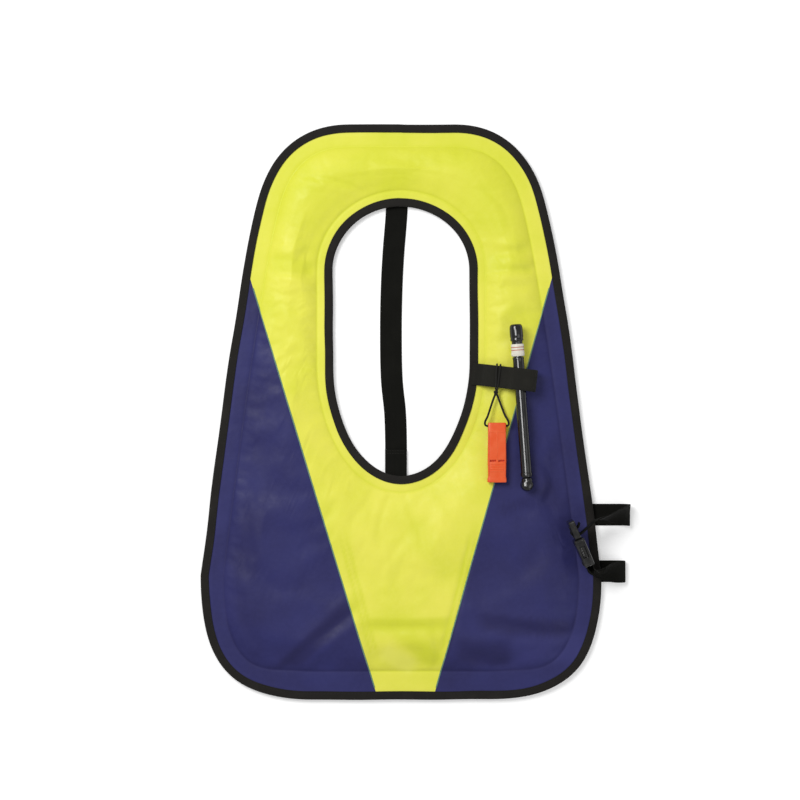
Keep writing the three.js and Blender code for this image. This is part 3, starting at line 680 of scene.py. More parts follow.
def bezier(a, b, c, d, count=60):
    t = np.linspace(0, 1, count, endpoint=False)[:, None]
    a, b, c, d = (np.array(p, float) for p in (a, b, c, d))
    return (1 - t) ** 3 * a + 3 * (1 - t) ** 2 * t * b + 3 * (1 - t) * t ** 2 * c + t ** 3 * d


def even_loop(points, count):
    """A closed loop of count points at even distances, from the first point."""
    closed = np.vstack([points, points[:1]])
    return resample(closed, count)[:-1]


def vest_outline(count):
    """Clockwise from the middle of the collar, the outer edge of the binding."""
    half = np.vstack([
        [[0, HALF_LENGTH], [30, HALF_LENGTH]],
        bezier((60, HALF_LENGTH), (120, HALF_LENGTH), (151, 293), (164, 244)),
        bezier((164, 244), (185, 167), (212, -46), (230, -187)),
        bezier((230, -187), (230, -287), (198, -HALF_LENGTH), (98, -HALF_LENGTH)),
        [[98, -HALF_LENGTH], [50, -HALF_LENGTH], [0, -HALF_LENGTH]],
    ])
    left = half[1:-1][::-1] * (-1, 1)
    return even_loop(np.vstack([half, left]), count)


def neck_outline(count):
    """Clockwise from the top of the neck opening, the inner edge of its binding."""
    up = np.linspace(math.pi / 2, 0, 50)
    down = np.linspace(0, -math.pi / 2, 50)
    half = np.vstack([
        np.stack([78 * np.cos(up), 163 + 72.5 * np.sin(up)], 1),
        np.stack([78 * np.cos(down), 57.5 + 131 * np.sin(down)], 1),
    ])
    left = half[1:-1][::-1] * (-1, 1)
    return even_loop(np.vstack([half, left]), count)


def inward(loop):
    """Unit vectors that point into a clockwise loop."""
    along = normalised(np.roll(loop, -1, 0) - np.roll(loop, 1, 0))
    return np.stack([along[:, 1], -along[:, 0]], 1)


def inset(loop, distance):
    return loop + inward(loop) * distance


COLUMNS = 640
OUTLINE = vest_outline(COLUMNS)
NECK = neck_outline(COLUMNS)


def bell(values):
    """1 at 0, and soon 0 past 1 and -1."""
    return np.exp(-values ** 2)


def unit(values):
    """Values kept between 0 and 1."""
    return np.clip(values, 0, 1)


def hem_share(points):
    """1 along the hem, where the weld runs further in, and 0 round the corners and sides."""
    x, y = points[:, 0], points[:, 1]
    share = unit((178 - np.abs(x)) / 60)
    return np.where(y < -240, share * share * (3 - 2 * share), 0)


def edge_row(distance):
    """The outline moved inwards, further along the hem once it is clear of the binding."""
    extra = HEM_EXTRA * unit((distance - BINDING_WIDTH) / (WELD_OUTER - BINDING_WIDTH))
    return OUTLINE + inward(OUTLINE) * (distance + extra * hem_share(OUTLINE))[:, None]


def distance_to(loop, points):
    """Distance from each point to a closed loop, and how far round the loop it is nearest."""
    a, b = loop, np.roll(loop, -1, 0)
    step = b - a
    length = lengths(step)
    start = np.concatenate([[0], np.cumsum(length)[:-1]])
    near, round_it = [], []
    for chunk in np.array_split(points, max(1, len(points) // 3000)):
        rel = chunk[:, None] - a[None]
        t = unit((rel * step).sum(2) / (length ** 2))
        gap = np.linalg.norm(rel - t[..., None] * step, axis=2)
        best = gap.argmin(1)
        rows = np.arange(len(chunk))
        near.append(gap[rows, best])
        round_it.append(start[best] + t[rows, best] * length[best])
    return np.concatenate(near), np.concatenate(round_it)


# ---- relief of the front sheet

PUFF_RUN = 38
RISE = CROWN - FLANGE
# Creases: start and end in mm, half width and depth in mm
CREASES = [
    (-166, 176, -104, 166, 9, 1.5), (-160, 158, -96, 152, 6, 1.1), (-150, 186, -100, 190, 8, -0.8),
    (104, 176, 168, 184, 9, 1.5), (98, 158, 164, 162, 6, 1.1), (100, 192, 150, 199, 8, -0.8),
    (-104, 270, -46, 253, 5, 0.8), (96, 262, 118, 226, 6, 0.6), (-20, 290, 44, 284, 10, 0.6),
    (-128, -291, -64, -231, 8, 1.5), (-110, -296, -46, -244, 10, -1.0), (-176, -120, -150, -196, 12, 0.7),
    (-32, -246, 46, -240, 7, 1.6), (-30, -262, 30, -268, 9, -1.2), (40, -244, 38, -298, 6, 1.0),
    (100, -240, 196, -250, 9, 1.6), (56, -262, 124, -292, 12, 1.2), (126, -268, 182, -284, 12, -1.0),
    (-12, -98, -28, -142, 5, 0.6), (8, -98, 20, -146, 5, 0.5), (-34, -90, -58, -126, 5, 0.5),
    (36, -90, 66, -128, 5, 0.6), (-150, 60, -118, 20, 11, 0.7), (150, 92, 128, 120, 9, 0.6),
    (-96, -40, -130, -76, 12, 0.7), (168, -30, 186, -96, 12, 0.7), (-190, -232, -160, -262, 9, 0.8),
]
# Broad folds: middle line in mm, half width and depth in mm, and how much shade is painted along them
FOLDS = [
    (-138, -299, -62, -224, 10, 1.7, 0.9), (-26, -243, 44, -243, 8, 1.5, 0.9),
    (2, -254, 36, -284, 10, 1.2, 0.9), (104, -240, 190, -249, 9, 1.7, 1.0),
    (74, -272, 120, -277, 14, 1.5, 0.9), (-166, -100, -176, -180, 12, 0.9, 0.4),
    (-160, 172, -98, 164, 8, 1.2, 0.5), (104, 172, 160, 166, 8, 1.2, 0.5),
    (-30, 296, 60, 292, 9, 0.8, 0.4), (150, -60, 176, -108, 9, 1.0, 0.5),
    (118, -112, 160, -92, 5, 0.9, 0.6),
]
# Pale folds, where light is painted on: middle line and half width in mm, and how much light is painted
PAINTED_LIGHT_FOLDS = [
    (134, -274, 200, -270, 16, 0.8), (-16, -276, 10, -290, 10, 0.7), (-200, -180, -196, -230, 9, 0.4),
]
# Short welds inside the yellow panel that stiffen the front
INNER_WELDS = [(-61, -162, -34.5, -263), (79, -159, 53, -262)]


def into_chamber(points):
    """Distances from the outline and the neck, and how far inside both welds each plan point is."""
    edge, round_edge = distance_to(OUTLINE[::2], points)
    neck, round_neck = distance_to(NECK[::2], points)
    past_edge, past_neck = edge - WELD_OUTER - HEM_EXTRA * hem_share(points), neck - WELD_NECK
    return edge, neck, past_edge, past_neck, round_edge, round_neck


def inside_welds(points):
    return np.minimum(*into_chamber(points)[2:4])


def along_line(x, y, line):
    """Distance from a line's middle axis, and a weight that fades past its ends."""
    x0, y0, x1, y1 = line
    length = math.hypot(x1 - x0, y1 - y0)
    ux, uy = (x1 - x0) / length, (y1 - y0) / length
    t = (x - x0) * ux + (y - y0) * uy
    off = (x - x0) * -uy + (y - y0) * ux
    past = np.maximum(np.maximum(-t, t - length), 0)
    return off, bell(past / (0.12 * length + 3)), t / length


def soft_noise(x, y, size, seed):
    """Smooth noise from about -1 to 1, of features that size."""
    return np.array([noise.noise(Vector((a / size, b / size, seed))) for a, b in zip(x, y)])


def front_relief(points):
    """Height in mm of the front sheet's upper face at plan points, with its seam shading and the highlight
    painted just inside the bindings.
    """
    x, y = points[:, 0], points[:, 1]
    edge, neck, past_edge, past_neck, round_edge, round_neck = into_chamber(points)
    inside = np.minimum(past_edge, past_neck) - 1.5 * np.exp(-np.abs(past_edge - past_neck) / 6)
    share = unit(inside / PUFF_RUN)
    height = FLANGE + RISE * (1 - (1 - share) ** 2)
    slack = unit(inside / 22)
    height += slack * (0.9 * soft_noise(x, y, 95, 1.3) + 0.4 * soft_noise(x, y, 38, 4.1) - 1.6)
    height += (0.25 + 0.75 * slack) * 0.14 * soft_noise(x, y, 13, 7.7)
    for past, round_it, seed in ((past_edge, round_edge, 2.2), (past_neck, round_neck, 5.9)):
        pucker = soft_noise(round_it, 0 * round_it, 11, seed) + 0.6 * soft_noise(round_it, past, 6, seed)
        height += 0.55 * pucker * np.exp(-np.maximum(past, 0) / 12) * unit(past / 4)
        height += 0.16 * pucker * unit((past + 14) / 6) * (past < 0)
    seam = 0.8 * bell(past_edge / 1.1) + 0.8 * bell(past_neck / 1.1)
    for line in INNER_WELDS:
        off, fade, _ = along_line(x, y, line)
        for shift in (-3.4, 3.4):
            trench = fade * bell((off + shift) / 1.9)
            height -= 1.6 * trench
            seam += 1.0 * trench
    height -= 0.35 * bell(past_edge / 1.6) + 0.35 * bell(past_neck / 1.6)
    under_tape = unit(1 - (np.minimum(edge, neck) - BINDING_WIDTH) / 3)
    height = height * (1 - under_tape) + FLANGE * under_tape
    # Painted highlight: a pale line just inside the edge binding, broken up by noise, and one inside the
    # neck binding.
    painted_highlight = 0.9 * bell((edge - BINDING_WIDTH - 0.8) / 1.2) * (0.5 + 0.5 * soft_noise(x, y, 30, 8.8))
    painted_highlight += 0.5 * bell((neck - BINDING_WIDTH - 0.8) / 1.0)
    return height, unit(seam), unit(painted_highlight)


def crease_relief(points):
    """Height in mm that the larger folds add to the front sheet, the shade painted along them (and a darker
    tone towards the collar's top) and the light painted on pale folds.
    """
    x, y = points[:, 0], points[:, 1]
    inside = inside_welds(points)
    height, shade, pale = np.zeros((3, len(x)))
    for x0, y0, x1, y1, wide, deep in CREASES:
        off, fade, t = along_line(x, y, (x0, y0, x1, y1))
        off = off + wide * 0.5 * np.sin(3.1 * t + x0)
        fade = fade * unit(inside / 8) * (0.55 + 0.45 * np.sin(math.pi * unit(t)))
        ridge = 0.75 * bell((off + 1.6 * wide) / wide)
        valley = bell(off / (0.6 * wide))
        height += fade * deep * (ridge - valley)
        # Painted shade along each crease's valley.
        shade += fade * max(deep, 0) * bell(off / wide)
    shade *= 0.3
    for *line, wide, deep, painted_shade in FOLDS:
        off, fade, _ = along_line(x, y, line)
        fade = fade * unit(inside / 8)
        across = (off + 0.12 * wide * soft_noise(x, y, 14, 6.1)) / wide
        height += 1.6 * fade * deep * across * np.exp(-across ** 2)
        # Painted shade across each broad fold.
        shade += fade * painted_shade / (1 + across ** 8)
    for *line, wide, light in PAINTED_LIGHT_FOLDS:
        off, fade, _ = along_line(x, y, line)
        # Painted light on each pale fold.
        pale += fade * light / (1 + (off / wide) ** 6)
    # Darker and greener towards the top of the collar, and in a narrow band at the middle of its top.
    shade += 0.7 * unit((y - 130) / 130) + 0.5 * np.exp(-((x + 8) / 15) ** 4) * unit((y - 236) / 12)
    return height, unit(shade), pale


def lie_under(points):
    """Softly keeps the sheet below its highest place, lowest where the hose and whistle lie."""
    x, y = points[:, 0], points[:, 1]
    aside = np.maximum(np.maximum(66 - x, x - 168), np.maximum(-128 - y, y - 84))
    limit = CROWN + 0.2 + 2.4 * unit(aside / 26)
    softness = 0.5
    points[:, 2] = limit - softness * np.logaddexp(0, (limit - points[:, 2]) / softness)
    points[:, 2] = np.maximum(points[:, 2], FLANGE - 0.4)
    inlet = np.hypot(x - HOSE_BASE.x, y - HOSE_BASE.y)
    lift = unit((30 - inlet) / 12)
    lift = lift * lift * (3 - 2 * lift)
    points[:, 2] += lift * (CROWN + 0.1 - points[:, 2])
    return points


# ---- sheets

NECK_ROWS = [1.2, 4, 7, 9.6, 11.5, 14, 16.4, 17.6, 18.6, 19.6, 20.8, 23, 26, 30]
EDGE_ROWS = [1.2, 4, 7, 9.6, 11.5, 14.5, 18, 21.5, 24, 25.1, 26, 26.9, 28.2, 31, 35, 40]
MIDDLE_ROWS = 40
COLOUR_TOP = (-172.0, 172.0)
COLOUR_HEM = (-30.0, 40.0)
COLOUR_Y = (150.0, -317.0)


def ring_sheet(name):
    """Flat ring of quads between the neck opening and the outline, its rows along the welds."""
    rows = [inset(NECK, -d) for d in NECK_ROWS]
    first, last = rows[-1], edge_row(EDGE_ROWS[-1])
    for i in range(1, MIDDLE_ROWS):
        share = i / MIDDLE_ROWS
        rows.append(first * (1 - share) + last * share)
    rows += [edge_row(d) for d in reversed(EDGE_ROWS)]
    points = np.stack(rows).reshape(-1, 2)
    vertices = np.column_stack([points, np.zeros(len(points))])
    obj = new_object(name, vertices, lattice(len(rows), COLUMNS), points)
    with editing(obj) as work:
        bmesh.ops.recalc_face_normals(work, faces=work.faces)
        if sum(f.normal.z for f in work.faces) < 0:
            bmesh.ops.reverse_faces(work, faces=work.faces)
    return obj


def colour_edge_x(side, y):
    """X of the edge between yellow and navy, for the left (0) or right (1) side."""
    share = (COLOUR_Y[0] - y) / (COLOUR_Y[0] - COLOUR_Y[1])
    return COLOUR_TOP[side] + (COLOUR_HEM[side] - COLOUR_TOP[side]) * share


def cut_colours(sheet):
    """Cuts the sheet along both colour edges and parts it into yellow, navy left and right."""
    work = bmesh.new()
    work.from_mesh(sheet.data)
    normals = []
    for side in (0, 1):
        foot = Vector((COLOUR_HEM[side], COLOUR_Y[1], 0)) * MM
        head = Vector((COLOUR_TOP[side], COLOUR_Y[0], 0)) * MM
        run = (head - foot).normalized()
        normal = Vector((run.y, -run.x, 0))
        normals.append((foot, normal))
        everything = list(work.verts) + list(work.edges) + list(work.faces)
        bmesh.ops.bisect_plane(work, geom=everything, plane_co=foot, plane_no=normal, dist=1e-7)
    kinds = []
    for face in work.faces:
        middle = face.calc_center_median()
        left = (middle - normals[0][0]).dot(normals[0][1]) < 0
        right = (middle - normals[1][0]).dot(normals[1][1]) > 0
        below = middle.y < FOLD_Y * MM + 0.03
        kinds.append(1 if left and below else 2 if right and below else 0)
    found = []
    for kind, name in enumerate(("skin_yellow", "skin_navy_left", "skin_navy_right")):
        part = work.copy()
        part.faces.ensure_lookup_table()
        extra = [part.faces[i] for i, k in enumerate(kinds) if k != kind]
        bmesh.ops.delete(part, geom=extra, context="FACES")
        mesh = bpy.data.meshes.new(name)
        part.to_mesh(mesh)
        part.free()
        mesh.shade_smooth()
        found.append(linked(name, mesh))
    work.free()
    bpy.data.objects.remove(sheet)
    return found


def read_points(obj):
    co = np.empty(len(obj.data.vertices) * 3)
    obj.data.vertices.foreach_get("co", co)
    return co.reshape(-1, 3) / MM


def write_points(obj, points):
    obj.data.vertices.foreach_set("co", (np.asarray(points) * MM).ravel())
    obj.data.update()


def write_attribute(obj, name, values):
    attribute = obj.data.attributes.new(name, "FLOAT", "POINT")
    attribute.data.foreach_set("value", np.asarray(values, np.float32))


def across_fold(obj):
    """Bakes a piece's transform into its mesh; the piece is not bent over the shoulders."""
    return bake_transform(obj)


SETTLE_FRAMES = 18
SETTLE_CAP = 4
CLOTH_SETTINGS = {
    "quality": 5, "mass": 0.2, "tension_stiffness": 30, "compression_stiffness": 30, "shear_stiffness": 12,
    "bending_stiffness": 0.4, "vertex_group_mass": "held", "shrink_min": -0.012, "use_pressure": True,
    "uniform_pressure_force": 0.25,
}


def settle(sheet):
    """Lets the front sheet pucker: a cloth with a little spare fabric and air behind it, held
    along its welds and edges. It keeps the modelled relief to within a few millimetres."""
    points = read_points(sheet)
    inside = inside_welds(points[:, :2])
    held = sheet.vertex_groups.new(name="held")
    for i in np.nonzero(inside < 1.0)[0]:
        held.add([int(i)], 1.0, "REPLACE")
    cloth = sheet.modifiers.new("cloth", "CLOTH")
    for key, value in CLOTH_SETTINGS.items():
        setattr(cloth.settings, key, value)
    cloth.settings.effector_weights.gravity = 0
    cloth.collision_settings.use_collision = False
    scene = bpy.context.scene
    for step in range(1, SETTLE_FRAMES + 1):
        scene.frame_set(step)
    apply_modifiers(sheet)
    sheet.vertex_groups.clear()
    scene.frame_set(1)
    moved = read_points(sheet) - points
    moved *= np.minimum(1, SETTLE_CAP / np.maximum(lengths(moved), 1e-6))[:, None]
    keep = 0.62 * unit(inside / 6) * (1 - 0.5 * unit((points[:, 1] - 190) / 30))
    moved *= keep[:, None]
    moved[:, :2] *= 0.5
    write_points(sheet, points + moved)


def surface_tree(obj):
    """Search tree of a sheet, in metres."""
    mesh = obj.data
    return BVHTree.FromPolygons([v.co for v in mesh.vertices], [tuple(f.vertices) for f in mesh.polygons])


def height_on(tree, x, y):
    """Height in mm of the sheet at a plan point."""
    hit = tree.ray_cast(Vector((x, y, 100)) * MM, Vector((0, 0, -1)))[0]
    return FLANGE if hit is None else hit.z / MM


def make_front():
    sheet = ring_sheet("front_sheet")
    points = read_points(sheet)
    height, seam, painted_highlight = front_relief(points[:, :2])
    points[:, 2] = height
    write_points(sheet, points)
    settle(sheet)
    points = read_points(sheet)
    crease, shade, pale = crease_relief(points[:, :2])
    points[:, 2] += crease
    write_points(sheet, lie_under(points))
    # The seam attribute holds the weld tone plus the painted shade of the folds and creases.
    write_attribute(sheet, "seam", unit(seam + shade))
    # Painted light: the highlight inside the bindings plus the pale folds.
    write_attribute(sheet, "painted_highlight", unit(painted_highlight + pale))
    tree = surface_tree(sheet)
    yellow, navy_left, navy_right = cut_colours(sheet)
    dress(yellow, YELLOW, "yellow_fabric", None, "front_panel_yellow", "front_panel_collar")
    dress(navy_left, NAVY, "navy_fabric", None, "front_panel_navy_left")
    dress(navy_right, NAVY, "navy_fabric", None, "front_panel_navy_right")
    for obj in (yellow, navy_left, navy_right):
        across_fold(obj)
    return tree


def make_back():
    sheet = ring_sheet("skin_back")
    points = read_points(sheet)
    inside = inside_welds(points[:, :2])
    height = BACK_LOW + 0.1 + unit(inside / 20) * 0.3 * (1 + soft_noise(points[:, 0], points[:, 1], 40, 3.3))
    height += 0.25 * bell(inside / 1.5)
    points[:, 2] = height
    write_points(sheet, points)
    seam = 0.8 * bell(inside / 1.2)
    write_attribute(sheet, "seam", seam)
    write_attribute(sheet, "painted_highlight", 0 * seam)
    sheet.data.flip_normals()
    dress(sheet, BACK, "back_fabric", None, "back_panel_chest", "back_panel_collar")
    across_fold(sheet)


SURFACE = make_front()
make_back()

# ---- seams between the colours


def make_colour_seam(side):
    """The narrow welded lap where yellow meets navy, standing a little proud."""
    y = np.linspace(142, -316, 230)
    x = np.array([colour_edge_x(side, v) for v in y])
    plan = np.stack([x, y], 1)
    edge, _ = distance_to(OUTLINE[::2], plan)
    plan = plan[edge > BINDING_WIDTH - 2]
    height = np.array([height_on(SURFACE, *point) for point in plan])
    line = np.column_stack([plan, height + 0.06])
    widths = np.tile((1.0, 0, 0), (len(line), 1))
    section = [(-0.8, -0.1), (-0.6, 0.14), (0, 0.24), (0.6, 0.14), (0.8, -0.1), (0, -0.2)]
    seam = sweep("colour_seam_right" if side else "colour_seam_left", line, widths, section)
    dress(seam, SEAM_LOOK, "navy_fabric")
    across_fold(seam)


make_colour_seam(0)
make_colour_seam(1)

# ---- binding tape

TAPE_MIDDLE = (BINDING_LOW + BINDING_HIGH) / 2
TAPE_HALF = (BINDING_HIGH - BINDING_LOW) / 2
STITCH_IN = 7.5


def tape_section():
    """Tape folded over an edge: (in from the edge, height over its middle)."""
    w, t = BINDING_WIDTH, TAPE_HALF
    outer = [(w, t - 0.18), (w - 0.5, t - 0.02), (w - 1.4, t), (STITCH_IN + 0.5, t - 0.05),
             (STITCH_IN, t - 0.22), (STITCH_IN - 0.5, t - 0.05), (5.4, t), (3, t), (1.5, t - 0.15),
             (0.6, t - 0.65), (0.12, t - 1.3), (0, 0)]
    inner = [(w, t - TAPE), (1.6, t - TAPE), (1.0, t - 1.3), (TAPE, 0)]
    lower = [(a, -b) for a, b in reversed(outer[:-1])]
    return outer + lower + [(a, -b) for a, b in inner] + [(a, b) for a, b in reversed(inner[:-1])]


def make_binding(name, loop_of, count, side, nodes):
    """side is 1 where the tape reaches into the loop and -1 where it reaches out of it."""
    loop = loop_of(count)
    into = inward(loop) * side
    line = np.column_stack([loop, np.full(count, TAPE_MIDDLE)])
    across = np.column_stack([into, np.zeros(count)])
    section = np.array(tape_section()) * (1, -side)
    tape = sweep(name, line, across, section, closed=True)
    points = read_points(tape).reshape(count, len(section), 3)
    still_at_join = np.sin(np.pi * np.arange(count) / count) ** 0.25
    wander, sway = (
        size * still_at_join * [noise.noise(Vector((i * pace, a, b))) for i in range(count)]
        for size, pace, a, b in ((0.5, 0.05, 3.3 * side, 0.5), (1.3, 0.034, 8.1, 4.5 * side)))
    reach = (section[:, 0] / BINDING_WIDTH) ** 2
    points += across[:, None] * wander[:, None, None] * reach[None, :, None]
    points += across[:, None] * sway[:, None, None]
    write_points(tape, points.reshape(-1, 3))
    mend(tape)
    dress(tape, TAPE_LOOK, "binding_tape", None, *nodes)
    across_fold(tape)
    for tag, up in (("top", 1), ("under", -1)):
        row = line + across * (STITCH_IN + wander * 0.6 + sway)[:, None] + (0, 0, up * (TAPE_HALF - 0.12))
        row = np.vstack([row, row[:1]])
        thread = stitches(f"{name}_stitches_{tag}", row, np.tile((0, 0, float(up)), (len(row), 1)))
        across_fold(dress(thread, THREAD_LOOK, "binding_tape"))


make_binding("edge_binding", vest_outline, 900, 1, ("edge_binding_chest", "edge_binding_collar"))
make_binding("neck_binding", neck_outline, 420, -1, ("neck_binding_chest", "neck_binding_collar"))

# ---- webbing

FIRST_LAYER = WEB / 2
SECOND_LAYER = FIRST_LAYER + WEB + GAP
THIRD_LAYER = SECOND_LAYER + WEB + GAP
STRAP_END_X = -5.8
BELT_Y = -118
TAB_Y = -183


def placed(stops, origin, turn):
    """Stops given in a turned local frame, in the row frame. A stop is a point and a width direction."""
    spin = Matrix.Rotation(turn, 3, "Z")
    return [(*(spin @ Vector(s[:3]) + origin), *(spin @ Vector(s[3:]))) for s in stops]


def band(name, stops, look, slot, width=WEB_WIDTH, thickness=WEB, steps=200):
    """A flat strap through the stops, kept above the floor."""
    line = catmull_rom(stops, steps)
    strip = sweep(name, line[:, :3], line[:, 3:], band_section(width, thickness))
    points = read_points(strip)
    points[:, 2] = np.maximum(points[:, 2], 0)
    write_points(strip, points)
    return dress(strip, look, slot)


def web(name, stops, steps):
    return band(name, stops, WEB_LOOK, "webbing", steps=steps)


def sew(name, row, up, body, slot="webbing", **size):
    """A row of stitches on a flat face, or on faces whose normals up gives."""
    ups = np.tile(up, (len(row), 1)) if np.ndim(up) == 1 else up
    return dress(stitches(name, row, ups, **size), THREAD_LOOK, slot, body)


def box_stitch(name, low, high, z, up, body):
    """A sewn box with a cross, on a flat face at height z."""
    (x0, y0), (x1, y1) = low, high
    corners = [(x0, y0), (x1, y0), (x1, y1), (x0, y1), (x0, y0), (x1, y1), (x1, y0), (x0, y1)]
    parts = []
    for i, (a, b) in enumerate(zip(corners, corners[1:])):
        row = np.linspace((*a, z), (*b, z), 12)
        parts.append(stitches(f"{name}_{i}", row, np.tile((0, 0, up), (12, 1)), 2.2, 0.8, 0.25, 0.02))
    dress(join(name, parts), THREAD_LOOK, "webbing", body)


def make_back_strap():
    loop_end = BELT_Y - WEB_WIDTH / 2 - 1.2
    flat = [
        (-4.3, 300), (-4.8, 235), (-8.6, 184), (-10.4, FOLD_Y), (-11.6, 101), (-10.6, 37), (-6.9, 0),
        (STRAP_END_X, -32), (STRAP_END_X, -80), (STRAP_END_X, loop_end + 4),
    ]
    loop = [
        (loop_end + 0.4, FIRST_LAYER + 0.04), (loop_end - 1.3, SECOND_LAYER - 0.7),
        (loop_end - 1.3, SECOND_LAYER + 0.7), (loop_end + 0.4, THIRD_LAYER - 0.04),
        (loop_end + 4, THIRD_LAYER), (-82, THIRD_LAYER), (-66, THIRD_LAYER), (-43, THIRD_LAYER),
    ]
    stops = [(x, y, FIRST_LAYER) for x, y in flat] + [(STRAP_END_X, y, z) for y, z in loop]
    widths = [(1, 0, 0)] * 15 + [(1, 0, 0), (1, 0.1, 0), (1, 0.14, 0)]
    strap = web("back_strap", [(*s, *w) for s, w in zip(stops, widths)], 460)
    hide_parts("back_strap_chest", "back_strap_collar")
    across_fold(strap)
    for tag, y in (("near", -44.6), ("far", -47.4)):
        ends = [(STRAP_END_X + x, y, THIRD_LAYER + 0.5) for x in (-10.5, 10.5)]
        row = np.linspace(*ends, 10)
        sew(f"strap_end_stitches_{tag}", row, (0, 0, 1.0), "chest", length=2.0, gap=0.8, radius=0.25)


def make_patch(name, node, body, long_x):
    """A folded pad of webbing sewn down with a box and a cross, under the back sheet."""
    low, high = (np.array(corner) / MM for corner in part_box(node))
    middle = (low + high) / 2
    run = 0 if long_x else 1
    across = np.roll((1, 0, 0), 1 - run)
    layers, count = [], 3
    step = (high[2] - low[2]) / count
    for i in range(count):
        ends = np.array([middle, middle])
        ends[:, run] = low[run] + 0.5 * (i % 2), high[run] - 0.5 * (i % 2)
        ends[:, 2] = low[2] + (i + 0.5) * step
        section = band_section(high[1 - run] - low[1 - run] - 0.2, step - 0.04)
        layers.append(sweep(f"{name}_{i}", np.linspace(*ends, 24), np.tile(across, (24, 1)), section))
    dress(join(name, layers), WEB_LOOK, "webbing", body, node)
    corners = low[:2] + 3, high[:2] - 3
    box_stitch(f"{name}_box", *corners, high[2] - 0.12, 1.0, body)
    box_stitch(f"{name}_box_under", *corners, 0.12, -1.0, body)


def buckle_stops(stops):
    return placed([(x, y, 0, 0, 0, 1) for x, y in stops], BUCKLE, BUCKLE_TILT)


def level_stops(stops, y):
    """Stops of a strap that runs flat across the vest at one y, from its x and height."""
    return [(x, y, z, 0, 1, 0) for x, z in stops]


def make_belt():
    threaded = [(9, 49), (5, 44.9), (0, 44), (-3.2, 43), (-4.4, 40.5), (-3.4, 37.9), (0, 36.9), (6, 37.1),
                (12.5, 39.2), (19.5, 41.6), (27, 44.2)]
    run, over = FIRST_LAYER, SECOND_LAYER
    turning = [
        (236, -118.6, 30, 0, 0.3, 0.95), (247, -117.6, 24, 0, 0.62, 0.78), (257, -117.6, 16, 0, 0.9, 0.44),
        (262, -118, 8, 0, 1, 0.1),
    ]
    under_vest = [
        (257, 2.4), (249, run + 0.2), (243, run), (150, run), (44, run), (36, run + 0.1), (16, over - 0.1),
        (8, over), (-20, over), (-28, over - 0.1), (-48, run + 0.1), (-56, run), (-196, run),
    ]
    stops = buckle_stops(threaded) + turning + level_stops(under_vest, BELT_Y)
    belt = web("waist_belt_webbing", stops, 460)
    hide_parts("waist_belt", "waist_belt_end")
    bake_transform(belt)


def make_tab():
    looped = buckle_stops([
        (0.2, -12.5), (-2.4, -6), (-3.6, -0.5), (-3.2, 3.2), (0, 4.9), (3.2, 3.2), (3.6, -0.5), (3.4, -6),
    ])
    turning = [
        (226, -180.5, 28, 0, 0.45, 0.9), (239, -182.6, 19, 0, 0.85, 0.5), (250, TAB_Y, 12.5, 0, 1, 0.1),
    ]
    under_vest = [
        (257, 6.5), (252, 1.9), (245, FIRST_LAYER + 0.15), (239, FIRST_LAYER), (205, FIRST_LAYER),
        (165, FIRST_LAYER),
    ]
    tab = web("belt_tab_webbing", looped + turning + level_stops(under_vest, TAB_Y), 260)
    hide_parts("belt_tab")
    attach(tab, "chest")


make_back_strap()
make_patch("collar_pad", "strap_patch_collar", "collar", False)
make_patch("belt_pad_left", "belt_patch_left", "chest", True)
make_patch("belt_pad_right", "belt_patch_right", "chest", True)
make_belt()
make_tab()

# ---- CAD parts that keep their shape


def finish_node(name, look, bevel=0.35, segments=3):
    """Gives a CAD node its material, and rounds its moulded edges with a modifier."""
    node = frame["nodes"][name]
    paint(node, look)
    if bevel:
        soften(node, bevel, segments, 35)
    smooth = node.modifiers.new("shading", "WEIGHTED_NORMAL")
    smooth.keep_sharp = True
    node.data.shade_smooth()


for node_name in ("strap_slider", "buckle_socket", "buckle_plug", "buckle_arm_upper", "buckle_arm_lower"):
    finish_node(node_name, PLASTIC)
for node_name in ("inlet_flange", "valve_body", "valve_poppet"):
    finish_node(node_name, PLASTIC, 0)


def buckle_box(name, low, high, body, bevel=0.5):
    """A rounded raised detail given in the buckle's own frame."""
    obj = rounded_box(name, low, high, bevel)
    dress(place(obj, BUCKLE, BUCKLE_TILT), PLASTIC, "black_plastic", body)


def make_buckle_details():
    """Grip ribs on the arms' buttons, and ribs across both faces of the socket."""
    for tag, side, body in (("upper", 1, "arm_upper"), ("lower", -1, "arm_lower")):
        for i in range(4):
            y = 13.4 + 2.6 * i
            z0, z1 = sorted((side * 14.6, side * 15.5))
            buckle_box(f"arm_{tag}_rib_{i}", (-2.2, y, z0), (2.2, y + 1.2, z1), body, 0.3)
    for i, y in enumerate((26.4, 28.4, 30.4)):
        for tag, x in (("front", 5.8), ("back", -6.4)):
            buckle_box(f"socket_rib_{tag}_{i}", (x, y, -11), (x + 0.6, y + 0.9, 11), "chest", 0.28)


make_buckle_details()

# ---- hose, valve and mouthpiece


def on_hose(obj, look, slot, body, *nodes):
    dress(place(obj, HOSE_BASE, HOSE_TILT), look, slot, body, *nodes)


def make_hose():
    r = 6.25
    profile = [(4.25, 9.2), (4.6, 8.7), (5.4, 8.6), (6.0, 8.9), (r, 9.6), (r, 14), (r, 16)]
    profile += [(r + 0.05 * math.sin(i * 0.9), 16 + i * 4) for i in range(1, 31)]
    profile += [(r, 140), (r, 143), (r + 0.25, 144), (r + 0.25, 145.3), (6.0, 146), (4.25, 146), (4.25, 120)]
    tube_part = turned("hose_tube", profile, 72)
    auto_smooth(tube_part, 50)
    on_hose(tube_part, RUBBER, "black_rubber", "hose", "inflation_hose")
    clamp_profile = [(6.3, 10.2), (6.75, 10.4), (6.85, 11), (6.85, 13.4), (6.75, 14), (6.3, 14.2)]
    clamp = turned("hose_clamp", clamp_profile, 72)
    on_hose(clamp, PLASTIC, "black_plastic", "hose")


